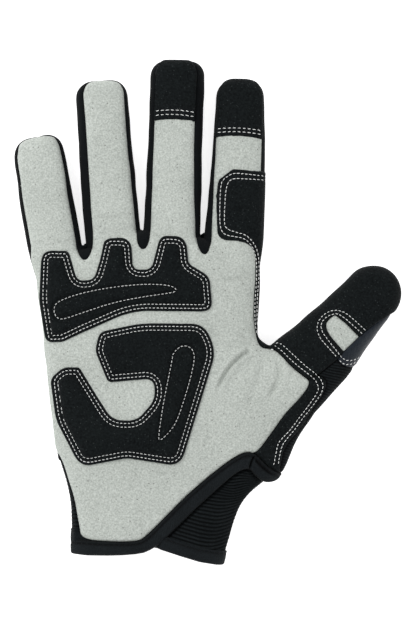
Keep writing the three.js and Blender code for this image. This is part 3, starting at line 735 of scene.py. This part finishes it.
plainFinish = {"broad": 0.1, "broadShare": 0.2, "sheen": 0.015, "fleck": None, "weave": None,
               "paintedShade": None}
threadFinish = {"grain": 1.4, "bump": ((2.0, 0.05),), "weave": (0.3, 0.1, 0.8)}
# The knit's and the tape's extra dark colour is a painted shade colour for their grooves, folds, seams
# and edges
finishes = {
    "greySuede": {"slot": "grey_suede", "dark": (0.290, 0.312, 0.288),
                  "light": (0.535, 0.568, 0.532), "grain": 1.25, "broad": 0.05,
                  "broadShare": 0.14, "fleck": (0.30, 0.12, (0.15, 0.15, 0.14)), "rough": 0.96,
                  "gloss": 0.1, "sheen": 0.05, "bump": ((1.7, 0.10), (0.25, 0.20))},
    "blackLeather": {"slot": "black_leather", "dark": (0.0006, 0.0012, 0.0015),
                     "light": (0.0078, 0.0104, 0.0110), "grain": 1.1, "broad": 0.06,
                     "broadShare": 0.12, "fleck": (0.62, 0.17, (0.034, 0.040, 0.040)),
                     "rough": 0.80, "gloss": 0.07, "bump": ((1.1, 0.34), (0.3, 0.3))},
    "blackStretch": {"slot": "black_stretch", "dark": (0.0012, 0.0018, 0.0022),
                     "light": (0.0052, 0.0066, 0.0076), "grain": 2.2, "broad": 0.05,
                     "broadShare": 0.1, "rough": 0.88, "gloss": 0.08, "bump": ((2.4, 0.08),),
                     "weave": (0.55, 0.10, 0)},
    "navySatin": {"slot": "navy_satin", "dark": (0.0052, 0.0082, 0.0125),
                  "light": (0.0140, 0.0195, 0.0280), "grain": 1.8, "broad": 0.08, "rough": 0.42,
                  "gloss": 0.14, "sheen": 0.03, "bump": ((2.0, 0.05),),
                  "weave": (0.5, 0.12, 0.6)},
    "ribbedKnit": {"slot": "ribbed_knit", "dark": (0.0046, 0.0062, 0.0070),
                   "light": (0.0150, 0.0188, 0.0204), "paintedShade": (0.0005, 0.0008, 0.0009),
                   "grain": 1.2, "broad": 0.12, "broadShare": 0.35, "rough": 0.80, "gloss": 0.06,
                   "bump": ((2.2, 0.10),), "weave": (0.42, 0.08, 0)},
    "blackTape": {"slot": "black_tape", "dark": (0.0028, 0.0040, 0.0048),
                  "light": (0.0104, 0.0134, 0.0154), "paintedShade": (0.0004, 0.0006, 0.0007),
                  "grain": 1.6, "broadShare": 0.25, "rough": 0.70, "gloss": 0.08, "sheen": 0.02,
                  "bump": ((2.0, 0.08),), "weave": (0.5, 0.12, 0.8)},
    "whiteThread": {**threadFinish, "dark": (0.70, 0.71, 0.70), "light": (0.95, 0.96, 0.94),
                    "rough": 0.6, "gloss": 0.2, "sheen": 0.05},
    "darkThread": {**threadFinish, "dark": (0.0005, 0.0007, 0.0008),
                   "light": (0.0018, 0.0022, 0.0025), "rough": 0.55, "gloss": 0.15,
                   "sheen": 0.0},
}


def makeFinish(name):
    look = {**plainFinish, **finishes[name]}
    material = bpy.data.materials.new(name)
    material.use_nodes = True
    nodes, links = material.node_tree.nodes, material.node_tree.links
    shader = nodes["Principled BSDF"]
    shader.inputs["Roughness"].default_value = look["rough"]
    shader.inputs["Specular IOR Level"].default_value = look["gloss"]
    shader.inputs["Sheen Weight"].default_value = look["sheen"]
    shader.inputs["Sheen Roughness"].default_value = 0.5

    def add(kind, **settings):
        made = nodes.new(kind)
        for key, value in settings.items():
            setattr(made, key, value)
        return made

    def noise(size, detail=3.0, rough=0.6):
        made = add("ShaderNodeTexNoise")
        made.inputs["Scale"].default_value = size
        made.inputs["Detail"].default_value = detail
        made.inputs["Roughness"].default_value = rough
        links.new(scaled.outputs["Vector"], made.inputs["Vector"])
        return made.outputs["Fac"]

    def ranged(value, low, high, toLow=0.0, toHigh=1.0):
        made = add("ShaderNodeMapRange")
        links.new(value, made.inputs["Value"])
        for key, number in (("From Min", low), ("From Max", high), ("To Min", toLow),
                            ("To Max", toHigh)):
            made.inputs[key].default_value = number
        return made.outputs["Result"]

    def mixed(share, first, second):
        made = add("ShaderNodeMix", data_type="RGBA")
        for value, key in ((share, 0), (first, 6), (second, 7)):
            if isinstance(value, (tuple, float)):
                made.inputs[key].default_value = (*value, 1) if isinstance(value, tuple) else value
            else:
                links.new(value, made.inputs[key])
        return made.outputs[2]

    place = add("ShaderNodeTexCoord")
    scaled = add("ShaderNodeMapping")
    scaled.inputs["Scale"].default_value = (1 / mm, 1 / mm, 1 / mm)
    links.new(place.outputs["Object"], scaled.inputs["Vector"])

    fine = ranged(noise(look["grain"], 4.0, 0.65), 0.34, 0.66)
    wide = ranged(noise(look["broad"], 2.0, 0.5), 0.3, 0.7)
    tone = mixed(look["broadShare"], fine, wide)
    colour = mixed(tone, look["dark"], look["light"])
    if look["fleck"]:
        size, radius, fleckTone = look["fleck"]
        cells = add("ShaderNodeTexVoronoi")
        cells.inputs["Scale"].default_value = size
        links.new(scaled.outputs["Vector"], cells.inputs["Vector"])
        spot = ranged(cells.outputs["Distance"], radius * 0.6, radius, 0.85, 0.0)
        colour = mixed(spot, colour, fleckTone)
    # painted shade: a point attribute darkens the colour toward the finish's painted shade colour,
    # fully where it is 0
    if look["paintedShade"]:
        paintedShade = add("ShaderNodeAttribute", attribute_name="paintedShade")
        colour = mixed(ranged(paintedShade.outputs["Fac"], 0.0, 1.0), look["paintedShade"], colour)
    links.new(colour, shader.inputs["Base Color"])

    def raised(pattern, deep, strength, under):
        bump = add("ShaderNodeBump")
        bump.inputs["Strength"].default_value = strength
        bump.inputs["Distance"].default_value = deep * mm
        links.new(pattern, bump.inputs["Height"])
        if under:
            links.new(under, bump.inputs["Normal"])
        return bump.outputs["Normal"]

    height = None
    for size, deep in look["bump"]:
        height = raised(noise(size), deep, 0.9, height)
    if look["weave"]:
        pitch, deep, turn = look["weave"]
        turned = add("ShaderNodeMapping")
        turned.inputs["Rotation"].default_value = (turn, turn, turn)
        links.new(scaled.outputs["Vector"], turned.inputs["Vector"])
        for axis in ("X", "Y", "Z"):
            bands = add("ShaderNodeTexWave", bands_direction=axis)
            bands.inputs["Scale"].default_value = 2 * math.pi / (20 * pitch)
            bands.inputs["Distortion"].default_value = 0.6
            links.new(turned.outputs["Vector"], bands.inputs["Vector"])
            height = raised(bands.outputs["Fac"], deep, 0.6, height)
    links.new(height, shader.inputs["Normal"])
    return material


materials = {name: makeFinish(name) for name in finishes}
print("finishes are mixed:", len(materials))


# Dressing: each piece stands for one solid of the frame

surfaces = {}


def dress(name, node, finish, points, faces, wall, paintedShade=None):
    # the tables' flat sizes are the width and length that a piece is cut to, and its flat area, in
    # metres
    piece = newObject(name, points, faces)
    # a point attribute of painted shade, for the finish to darken with
    if paintedShade is not None:
        piece.data.attributes.new("paintedShade", "FLOAT", "POINT").data.foreach_set("value", paintedShade)
    piece.data.shade_smooth()
    if wall:
        applied(piece, "SOLIDIFY", thickness=wall * mm, offset=-1.0, use_rim=True)
    piece.data.materials.append(materials[finish])
    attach(piece, "root")
    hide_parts(node)
    surfaces[name] = treeOf(points, faces)
    print(name, "has", len(piece.data.polygons), "faces")


def lifted(points, faces, lift):
    return points + normalsOf(points, faces) * lift[:, None]


panels = {  # piece, solid, finish, thickness, seam depth, roll, and flat sizes
    "palm": ("palmSuede", "palm_panel", "greySuede", 1.3, 0.40, 0.10, (0.150, 0.235, 0.0212)),
    "back": ("backCloth", "back_panel", "blackStretch", 1.2, 0.25, 0.0, (0.190, 0.200, 0.0218)),
    "littleSide": ("littleSideCloth", "little_side", "blackStretch", 1.2, 0.35, 0.10,
                   (0.020, 0.160, 0.0013)),
    "littleRing": ("forkLittleRing", "forchette_little_ring", "blackStretch", 1.2, 0.35, 0.10,
                   (0.022, 0.150, 0.0017)),
    "ringMiddle": ("forkRingMiddle", "forchette_ring_middle", "blackStretch", 1.2, 0.35, 0.10,
                   (0.022, 0.165, 0.0018)),
    "middleIndex": ("forkMiddleIndex", "forchette_middle_index", "blackStretch", 1.2, 0.35, 0.10,
                    (0.022, 0.172, 0.0020)),
    "indexSide": ("indexSideCloth", "index_side", "blackStretch", 1.2, 0.35, 0.10,
                  (0.018, 0.135, 0.00135)),
    "thumbSide": ("thumbSideSatin", "thumb_side", "navySatin", 1.2, 0.45, 0.12,
                  (0.024, 0.034, 0.00055)),
    "window": ("thumbWindowSuede", "thumb_window", "greySuede", 1.2, 0.30, 0.06,
               (0.014, 0.019, 0.00016)),
}
panelLook = {"rollSize": 16, "foldsFrom": 4, "windowSunk": 0.35}
for name, (piece, node, finish, wall, dip, roll, flat) in panels.items():
    points, faces = cutPiece(name)
    lift = seamDip(regions[name](points), dip) + roll * waves(points, panelLook["rollSize"])
    if name == "palm":
        onFront = ease((points[:, 2] - palmLow) / panelLook["foldsFrom"])
        lift += foldsIn(points, palmFolds) * onFront
    if name == "window":
        lift -= panelLook["windowSunk"]
    dress(piece, node, finish, lifted(points, faces, lift), faces, wall)
print("cloth panels are cut")

# Leather patches, laid over the cloth

patches = {  # piece, solid, how far its face stands up, thickness, and flat sizes
    "middleCap": ("middleTipLeather", "middle_tip_cap", 1.10, 1.0, (0.026, 0.034, 0.00072)),
    "indexCap": ("indexTipLeather", "index_tip_cap", 1.10, 1.0, (0.028, 0.033, 0.00078)),
    "saddle": ("indexSaddleLeather", "index_saddle", 1.30, 1.0, (0.032, 0.088, 0.00174)),
    "thumbFront": ("thumbFrontLeather", "thumb_front", 0.55, 1.3, (0.056, 0.078, 0.0026)),
    "strip": ("thumbStripLeather", "thumb_strip", 0.45, 1.3, (0.018, 0.056, 0.0006)),
}
patchLook = {"edge": 0.9, "sideShare": 0.3, "flatFrom": 0.8, "sunk": 0.25, "roll": 0.10, "rollSize": 13,
             "press": 0.2, "pressWide": 0.5}
saddleRows = (
    ((27.0, 65.1), (18.4, 65.9), (12.4, 66.5), (9.5, 65.0), (7.3, 63.3), (6.2, 61.2), (5.7, 53.1),
     (5.6, 42.4), (6.6, 38.2), (9.0, 36.6), (13.0, 36.0), (17.2, 35.2), (20.4, 32.6), (22.5, 28.6),
     (23.4, 22.9), (23.3, 17.1), (23.0, 11.3), (22.5, 5.5), (22.4, -0.4), (22.6, -6.2),
     (23.3, -10.4)),
    ((27.0, 63.2), (16.4, 63.7), (12.4, 63.9), (9.8, 62.5), (8.7, 59.2), (8.1, 53.1), (7.7, 42.4),
     (8.9, 39.6), (13.7, 38.0), (18.4, 36.8), (22.0, 32.9), (23.9, 28.6), (24.5, 22.9),
     (24.4, 17.1), (23.9, 11.3), (23.5, 5.5), (23.4, -0.4), (23.5, -6.2)))

for name, (piece, node, height, wall, flat) in patches.items():
    points, faces = cutPiece(name)
    edge = rise(regions[name](points), patchLook["edge"])
    lift = (height + patchLook["sunk"]) * edge - patchLook["sunk"]
    lift += patchLook["roll"] * waves(points, patchLook["rollSize"], seed=7)
    if height > 1:
        facing = normalsOf(points, faces)[:, 2]
        flatter = ease(facing / patchLook["flatFrom"])
        lift *= patchLook["sideShare"] + (1 - patchLook["sideShare"]) * flatter
    if name == "saddle":
        for row in saddleRows:
            gap = nearLine(cutCorners(row, 2, False), points)[0]
            lift -= patchLook["press"] * hollow(gap, patchLook["pressWide"])
    dress(piece, node, "blackLeather", lifted(points, faces, lift), faces, wall)
print("leather patches are laid on")

# Padded patches: a flat sewn rim, two pressed rows, and a filled middle with a sewn channel

leafChannel = ((-73.6, 1.9), (-72.0, 4.8), (-64.0, 8.0), (-52.1, 10.8), (-36.2, 13.0), (-24.2, 13.3),
               (-17.1, 12.4), (-14.7, 10.4), (-17.1, 9.1), (-28.3, 7.7), (-44.2, 4.8), (-60.0, -0.4),
               (-68.0, -3.2), (-71.2, -3.4), (-73.2, -1.2))
dropChannel = ((-16.4, -19.1), (-12.0, -15.6), (-7.5, -17.2), (-6.2, -21.6), (-8.2, -31.2),
               (-12.0, -43.9), (-15.2, -52.8), (-19.0, -57.9), (-23.4, -61.7), (-23.4, -57.9),
               (-21.5, -45.1), (-19.0, -32.4), (-17.0, -22.3))
outlines["leaf"] = cutCorners(leafChannel, 2)
outlines["drop"] = cutCorners(dropChannel, 2)
pads = {
    "knuckle": {"piece": "knucklePadLeather", "node": "knuckle_pad", "channel": "leaf"},
    "heel": {"piece": "heelPadLeather", "node": "heel_pad", "channel": "drop"},
}
padLook = {"rim": 1.25, "edge": 0.8, "rows": (1.6, 3.4), "press": 0.28, "pressWide": 0.38,
           "fillStart": 3.8, "fillWide": 3.6, "fill": 1.45, "crown": 0.25, "crownWide": 9,
           "channelDeep": 1.15, "channelWide": 0.75, "roll": 0.10, "rollSize": 12, "wall": 1.1,
           "fillShare": 0.55}
for name, pad in pads.items():
    points, faces = cutPiece(name, 1)
    depth = regions[name](points)
    lift = (padLook["rim"] + patchLook["sunk"]) * rise(depth, padLook["edge"]) - patchLook["sunk"]
    full = depth - padLook["fillStart"]
    body = padLook["fill"] * rise(full, padLook["fillWide"])
    body += padLook["crown"] * ease(full / padLook["crownWide"])
    channel = insideDistance(outlines[pad["channel"]], points, 6)
    body -= padLook["channelDeep"] * hollow(channel, padLook["channelWide"])
    lift += np.maximum(body, 0)
    for row in padLook["rows"]:
        lift -= padLook["press"] * hollow(depth - row, padLook["pressWide"])
    lift += padLook["roll"] * waves(points, padLook["rollSize"], seed=11) * ease(depth / 2)
    dress(pad["piece"], pad["node"], "blackLeather", lifted(points, faces, lift), faces,
          padLook["wall"])
print("pads are filled")

# Tape along the palm's lower edge, with its fold at the hump

tapeLook = {"height": 1.05, "sunk": 0.9, "edge": 1.5, "stitchIn": 1.6, "press": 0.45,
            "pressWide": 0.42, "shade": 0.7, "shadeWide": 0.65, "edgeShade": 0.9,
            "edgeWide": 0.5, "sideShare": 0.35, "flatFrom": 0.6, "wall": 2.0, "roll": 0.10,
            "rollSize": 10, "flat": (0.0155, 0.125, 0.00144)}
tapeFolds = (
    (((21.8, -68.6), (20.4, -71.6), (19.4, -75.6)), 1.3, 0.5),
    (((21.6, -69.6), (26.6, -75.2), (32.0, -78.8)), 0.9, 0.55),
)


def besides(line, distance):
    # an open line moved to its right
    way = unit(np.gradient(line, axis=0))
    return line + np.column_stack([way[:, 1], -way[:, 0]]) * distance


tapeStitch = besides(cutCorners(tapeUpper, 3, False), tapeLook["stitchIn"])
points, faces = cutPiece("tape", 1)
depth = insideDistance(outlines["tape"], points)
stitched = nearLine(tapeStitch, points)[0]
folds = foldsIn(points, tapeFolds)
lift = (tapeLook["height"] + tapeLook["sunk"]) * rise(depth, tapeLook["edge"]) - tapeLook["sunk"]
lift -= tapeLook["press"] * hollow(stitched, tapeLook["pressWide"])
lift += tapeLook["roll"] * waves(points, tapeLook["rollSize"], seed=5) + folds
# painted shade: darker along the stitched groove, in the folds' valleys and at the tape's edges
paintedShade = 1 - tapeLook["shade"] * hollow(stitched, tapeLook["shadeWide"]) + np.minimum(folds, 0)
paintedShade -= tapeLook["edgeShade"] * hollow(depth, tapeLook["edgeWide"])
flatter = ease(normalsOf(points, faces)[:, 2] / tapeLook["flatFrom"])
lift *= tapeLook["sideShare"] + (1 - tapeLook["sideShare"]) * flatter
dress("palmBindingTape", "palm_binding", "blackTape", lifted(points, faces, lift), faces,
      tapeLook["wall"], paintedShade=np.clip(paintedShade, 0, 1))

# Ribbed cuff and gusset

cuffLook = {"top": -71.3, "length": 44, "hem": 7.0, "hemGap": 0.15, "around": 170, "step": 0.25,
            "wall": 1.5, "tuck": 2.1, "tuckWide": 1.6, "coverDrop": 5, "coverTop": 17,
            "coverFade": 4, "pitch": 1.9, "rib": 0.36, "steepRib": 0.12, "flatFrom": 0.7,
            "curlFrom": 11, "curl": 0.035, "finer": 0.012, "finerFrom": 17, "loop": 0.9,
            "roll": 0.25, "rollSize": 18, "ribsEvened": 0.45, "flat": (0.235, 0.050, 0.0098)}
hem = np.array(hemLine)


def hemLevel(x):
    return np.interp(x, hem[:, 0], hem[:, 1])


def cuffRow(turn, share, fromHem):
    # a row of the cuff: share of the way from its top to its hem, and a level over the hem
    level = np.full(len(turn), cuffLook["top"], float)
    for _ in range(5):
        left, right, thick = (easedTable(level, cuffRows, k) for k in (1, 2, 3))
        wide, high = ringAt((right - left) / 2, thick, 0.0, turn)
        x = (right + left) / 2 + wide
        level = cuffLook["top"] + share * (hemLevel(x) + fromHem - cuffLook["top"])
    return np.column_stack([x, level, high])


def tuckAt(points):
    # from 0 to 1 where a point lies under the palm's flap, the tape and the thumb's base
    deep = np.max([insideDistance(outlines[name], points)
                   for name in ("palm", "tape", "strip", "gusset")], axis=0)
    below = ease((cuffLook["coverTop"] - points[:, 2]) / cuffLook["coverFade"])
    deep = np.maximum(deep - cuffLook["coverDrop"] * below, -4.0)
    return ease((deep + cuffLook["tuckWide"]) / cuffLook["tuckWide"])


def ribShare(points, faces):
    # ribs are full where the knit lies flat, and faint where it is steep
    flatter = ease(np.abs(normalsOf(points, faces)[:, 2]) / cuffLook["flatFrom"])
    return cuffLook["steepRib"] + (1 - cuffLook["steepRib"]) * flatter


turns = np.linspace(0, 2 * np.pi, cuffLook["around"], endpoint=False)
rowCount = int(cuffLook["length"] / cuffLook["step"])
clearHem = cuffLook["hem"] + cuffLook["hemGap"]
points = np.concatenate([cuffRow(turns, share, clearHem) for share in np.linspace(0, 1, rowCount)])
faces = tubeFaces(rowCount, len(turns))
if (normalsOf(points, faces) * (points - points.mean(axis=0))).sum() < 0:
    faces = faces[:, ::-1]
overHem = points[:, 1] - hemLevel(points[:, 0]) - clearHem
tucked = tuckAt(points)
edge = easedTable(points[:, 1], cuffRows, 2) - points[:, 0]
curl = cuffLook["curl"] * np.maximum(cuffLook["curlFrom"] - edge, 0) ** 2
loops = np.sin(points[:, 0] / 2.6 + points[:, 1] / 7) * ease((points[:, 1] + 92) / 10)
finer = cuffLook["finer"] * np.maximum(overHem - cuffLook["finerFrom"], 0) ** 2
rib = np.cos((overHem - curl - cuffLook["loop"] * loops + finer) * 2 * math.pi / cuffLook["pitch"])
lift = cuffLook["rib"] * rib * (1 - 0.6 * tucked) * ribShare(points, faces)
lift += cuffLook["roll"] * waves(points, cuffLook["rollSize"], seed=4) * (1 - tucked)
lift -= cuffLook["tuck"] * tucked
# toward the cuff's right edge, on its upper side, the painted rib shade is evened toward a flat mid
# tone
ribsEvened = ease((cuffLook["curlFrom"] + 3 - edge) / 12) * ease((points[:, 2] - 8) / 4)
ribsEvened *= cuffLook["ribsEvened"]
# painted shade: dark in the rib valleys, and darker where the knit tucks under the palm's flap, the
# tape and the thumb's base
paintedShade = (0.5 + 0.5 * rib) ** 0.8 * (1 - 0.5 * tucked) * (1 - ribsEvened) + 0.6 * ribsEvened
points = lifted(points, faces, lift)
points[:, 2] = np.maximum(points[:, 2], 0)
dress("ribCuffKnit", "rib_cuff", "ribbedKnit", points, faces, cuffLook["wall"],
      paintedShade=paintedShade)

# offset out of the cuff's skin, and level over the hem, round the tape's section
hemSection = ((0.05, 7.0), (0.42, 6.8), (0.50, 6.2), (0.36, 5.8), (0.50, 5.3), (0.62, 4.0),
              (0.64, 2.6), (0.60, 1.2), (0.35, 0.4), (-0.2, 0.05), (-1.4, 0.0), (-1.9, 0.35),
              (-2.1, 1.1), (-2.1, 6.4), (-1.8, 6.9), (-0.9, 7.0))
# painted shade round the tape's section, darkest in the pressed row
hemShade = (0.8, 1.0, 0.8, 0.35, 0.8) + 11 * (1.0,)  # dark in the pressed row
skin = [cuffRow(turns, 1.0, over) for over in (0.0, 2.0)]
out = unit(np.cross(np.roll(skin[0], -1, axis=0) - np.roll(skin[0], 1, axis=0), skin[1] - skin[0]))
if (out * (skin[0] - skin[0].mean(axis=0))).sum() < 0:
    out = -out
sunk = cuffLook["tuck"] * tuckAt(skin[1])
points = np.concatenate([cuffRow(turns, 1.0, over) + out * (offset - sunk)[:, None]
                         for offset, over in hemSection])
points[:, 2] = np.maximum(points[:, 2], 0)
faces = tubeFaces(len(hemSection), len(turns), joined=True)
dress("cuffBindingTape", "cuff_binding", "blackTape", points, faces, 0,
      paintedShade=np.repeat(hemShade, len(turns)))
bpy.ops.object.mode_set(mode="EDIT")
bpy.ops.mesh.select_all(action="SELECT")
bpy.ops.mesh.normals_make_consistent(inside=False)
bpy.ops.object.mode_set(mode="OBJECT")

gussetLook = {"pitch": 1.35, "rib": 0.22, "slant": 0.25, "wander": 0.3, "wanderSize": 4,
              "dip": 0.4, "wall": 1.1, "flat": (0.038, 0.056, 0.00147)}
points, faces = cutPiece("gusset", 1)
depth = regions["gusset"](points)
slant = points[:, 1] + gussetLook["slant"] * points[:, 0]
slant += gussetLook["wander"] * np.sin(points[:, 0] / gussetLook["wanderSize"])
rib = np.cos(slant * 2 * math.pi / gussetLook["pitch"])
lift = gussetLook["rib"] * rib * ribShare(points, faces) + seamDip(depth, gussetLook["dip"])
# painted shade: dark in the rib valleys and darker toward the gusset's seams
dress("thumbGussetKnit", "thumb_gusset", "ribbedKnit", lifted(points, faces, lift), faces,
      gussetLook["wall"], paintedShade=(0.5 + 0.5 * rib) * ease(depth / 1.2 + 0.2))
print("tape, cuff and gusset are in")

# Stitches: one is modelled, and copied along every row

threadLook = {"long": 1.30, "wide": 0.36, "high": 0.38, "raise": 0.08, "pitch": 1.85,
              "wander": 0.07, "turn": 0.08, "fullness": 0.6, "bend": 0.14, "steepest": 0.15}
bpy.ops.mesh.primitive_uv_sphere_add(segments=8, ring_count=5, radius=1, location=(0, 0, 0))
ball = bpy.context.object
stitchShape, stitchFaces = readMesh(ball.data)
stitchShape *= mm
bpy.data.objects.remove(ball)
ends = np.sign(stitchShape[:, 0]) * np.abs(stitchShape[:, 0]) ** threadLook["fullness"]
stitchShape[:, 0] = ends
stitchShape *= (threadLook["long"] / 2, threadLook["wide"] / 2, threadLook["high"] / 2)
stitchShape[:, 2] -= threadLook["bend"] * ends ** 2


def onTop(names, x, y):
    best = None
    for name in names:
        hit = surfaces[name].ray_cast(Vector((x, y, 80)), Vector((0, 0, -1)))
        if hit[0] is None or abs(hit[1].z) < threadLook["steepest"]:
            continue
        if best is None or hit[0].z > best[0].z:
            best = hit
    return best


def evenly(line, pitch, closed):
    if closed:
        line = np.concatenate([line, line[:1]])
    far = np.concatenate([[0], np.cumsum(np.linalg.norm(np.diff(line, axis=0), axis=1))])
    count = max(int(round(far[-1] / pitch)), 1)
    at = (np.arange(count) + 0.5) * far[-1] / count
    spots, ahead, behind = (np.column_stack([np.interp(at + s, far, line[:, k]) for k in (0, 1)])
                            for s in (0, 0.3, -0.3))
    return spots, ahead - behind


def insetLoop(name, distance):
    # a closed row inside an outline, without the loops at tight corners
    outline = outlines[name]
    fine = []
    for a, b in zip(outline, np.roll(outline, -1, axis=0)):
        count = max(int(np.linalg.norm(b - a) / 0.4), 1)
        fine += [a + (b - a) * i / count for i in range(count)]
    fine = np.array(fine)
    way = unit(np.roll(fine, -3, axis=0) - np.roll(fine, 3, axis=0))
    side = np.column_stack([way[:, 1], -way[:, 0]])
    side *= np.sign(insideDistance(outline, fine + side * 0.3).mean())
    row = fine + side * distance
    row = row[insideDistance(outline, row) > distance - 0.06]
    for _ in range(3):
        row = (np.roll(row, 1, axis=0) + row * 2 + np.roll(row, -1, axis=0)) / 4
    return row


def sew(name, rows, on, closed=False, thread="whiteThread", pitch=threadLook["pitch"], size=1.0):
    dice = np.random.default_rng(len(name))
    points, faces = [], []
    for line in rows:
        spots, ways = evenly(line, pitch, closed)
        for (x, y), way in zip(spots, ways):
            hit = onTop(on, x, y)
            if hit is None:
                continue
            up = np.array(hit[1]) * (1 if hit[1].z > 0 else -1)
            turn = dice.normal(0, threadLook["turn"])
            along = np.array((way[0] - turn * way[1], way[1] + turn * way[0], 0))
            along -= up * (along @ up)
            along /= np.linalg.norm(along)
            shape = stitchShape * (size * (1 + dice.normal(0, threadLook["wander"])), 1, 1)
            centre = np.array(hit[0]) + up * threadLook["raise"]
            faces.append(np.where(stitchFaces < 0, -1, stitchFaces + len(stitchShape) * len(points)))
            points.append(centre + shape @ np.array((along, np.cross(up, along), up)))
    piece = newObject(name, np.concatenate(points), np.concatenate(faces))
    piece.data.shade_smooth()
    piece.data.materials.append(materials[thread])
    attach(piece, "root")
    print(name, "has", len(points), "stitches")


def crownRow(name, over):
    front = capFront(name, over)
    return crown(front[0], front[-1], np.linspace(0.02, 0.98, 15))


seamRows = (
    ((32.1, -14.9), (34.4, -14.9), (36.7, -16.6), (40.8, -20.6), (46.6, -25.9), (52.1, -30.0),
     (54.9, -33.7), (54.7, -37.9), (52.2, -41.7), (48.4, -46.9), (44.9, -51.0), (41.4, -56.2),
     (37.1, -61.2), (35.3, -63.8), (34.1, -68.9), (33.6, -72.9)),
    ((31.5, -15.8), (35.0, -18.2), (39.6, -23.0), (45.5, -27.8), (50.7, -31.7), (52.7, -35.4),
     (52.5, -37.8), (50.1, -41.7), (46.3, -46.9), (43.1, -51.0), (39.7, -55.8), (35.4, -60.3),
     (33.3, -62.8), (32.3, -68.4), (31.3, -73.4)))
windowRows = (
    ((75.4, -8.9), (68.6, -2.6), (64.7, 0.2), (60.5, 1.0), (56.5, -0.3), (53.3, -3.3),
     (51.8, -7.2), (53.0, -12.0), (57.1, -16.6), (61.7, -21.8), (64.7, -25.1), (68.2, -25.1),
     (71.0, -23.9)),
    ((73.9, -10.6), (62.9, -0.6), (58.8, -1.2), (56.1, -2.7), (53.9, -5.6), (54.2, -9.1),
     (57.1, -13.2), (61.7, -19.0), (64.7, -22.8), (68.6, -23.5), (72.8, -21.6)))

for name, pad in pads.items():
    sew(name + "Stitches",
        [insetLoop(name, inset) for inset in padLook["rows"]] + [outlines[pad["channel"]]],
        (pad["piece"],), closed=True)
sew("saddleStitches", [cutCorners(row, 2, False) for row in saddleRows],
    ("indexSaddleLeather",), pitch=1.95, size=1.12)
sew("middleTipStitches", [crownRow("middle", over) for over in (2.5, 4.6)],
    ("middleTipLeather",), pitch=2.4, size=1.3)
sew("indexTipStitches", [crownRow("index", over) for over in (2.3, 4.1)],
    ("indexTipLeather",), pitch=2.3, size=1.25)
sew("thumbSeamStitches", [cutCorners(row, 2, False) for row in seamRows],
    ("thumbFrontLeather", "thumbStripLeather", "thumbGussetKnit"))
sew("thumbWindowStitches", [cutCorners(row, 2, False) for row in windowRows],
    ("thumbFrontLeather", "thumbSideSatin", "thumbGussetKnit"))
sew("tapeStitches", [tapeStitch], ("palmBindingTape",), thread="darkThread", pitch=2.6)
hemStitch = hem[hem[:, 0] > -26] + (0, 5.8)
sew("hemStitches", [hemStitch], ("cuffBindingTape",), thread="darkThread", pitch=2.3)
print("rows are stitched")
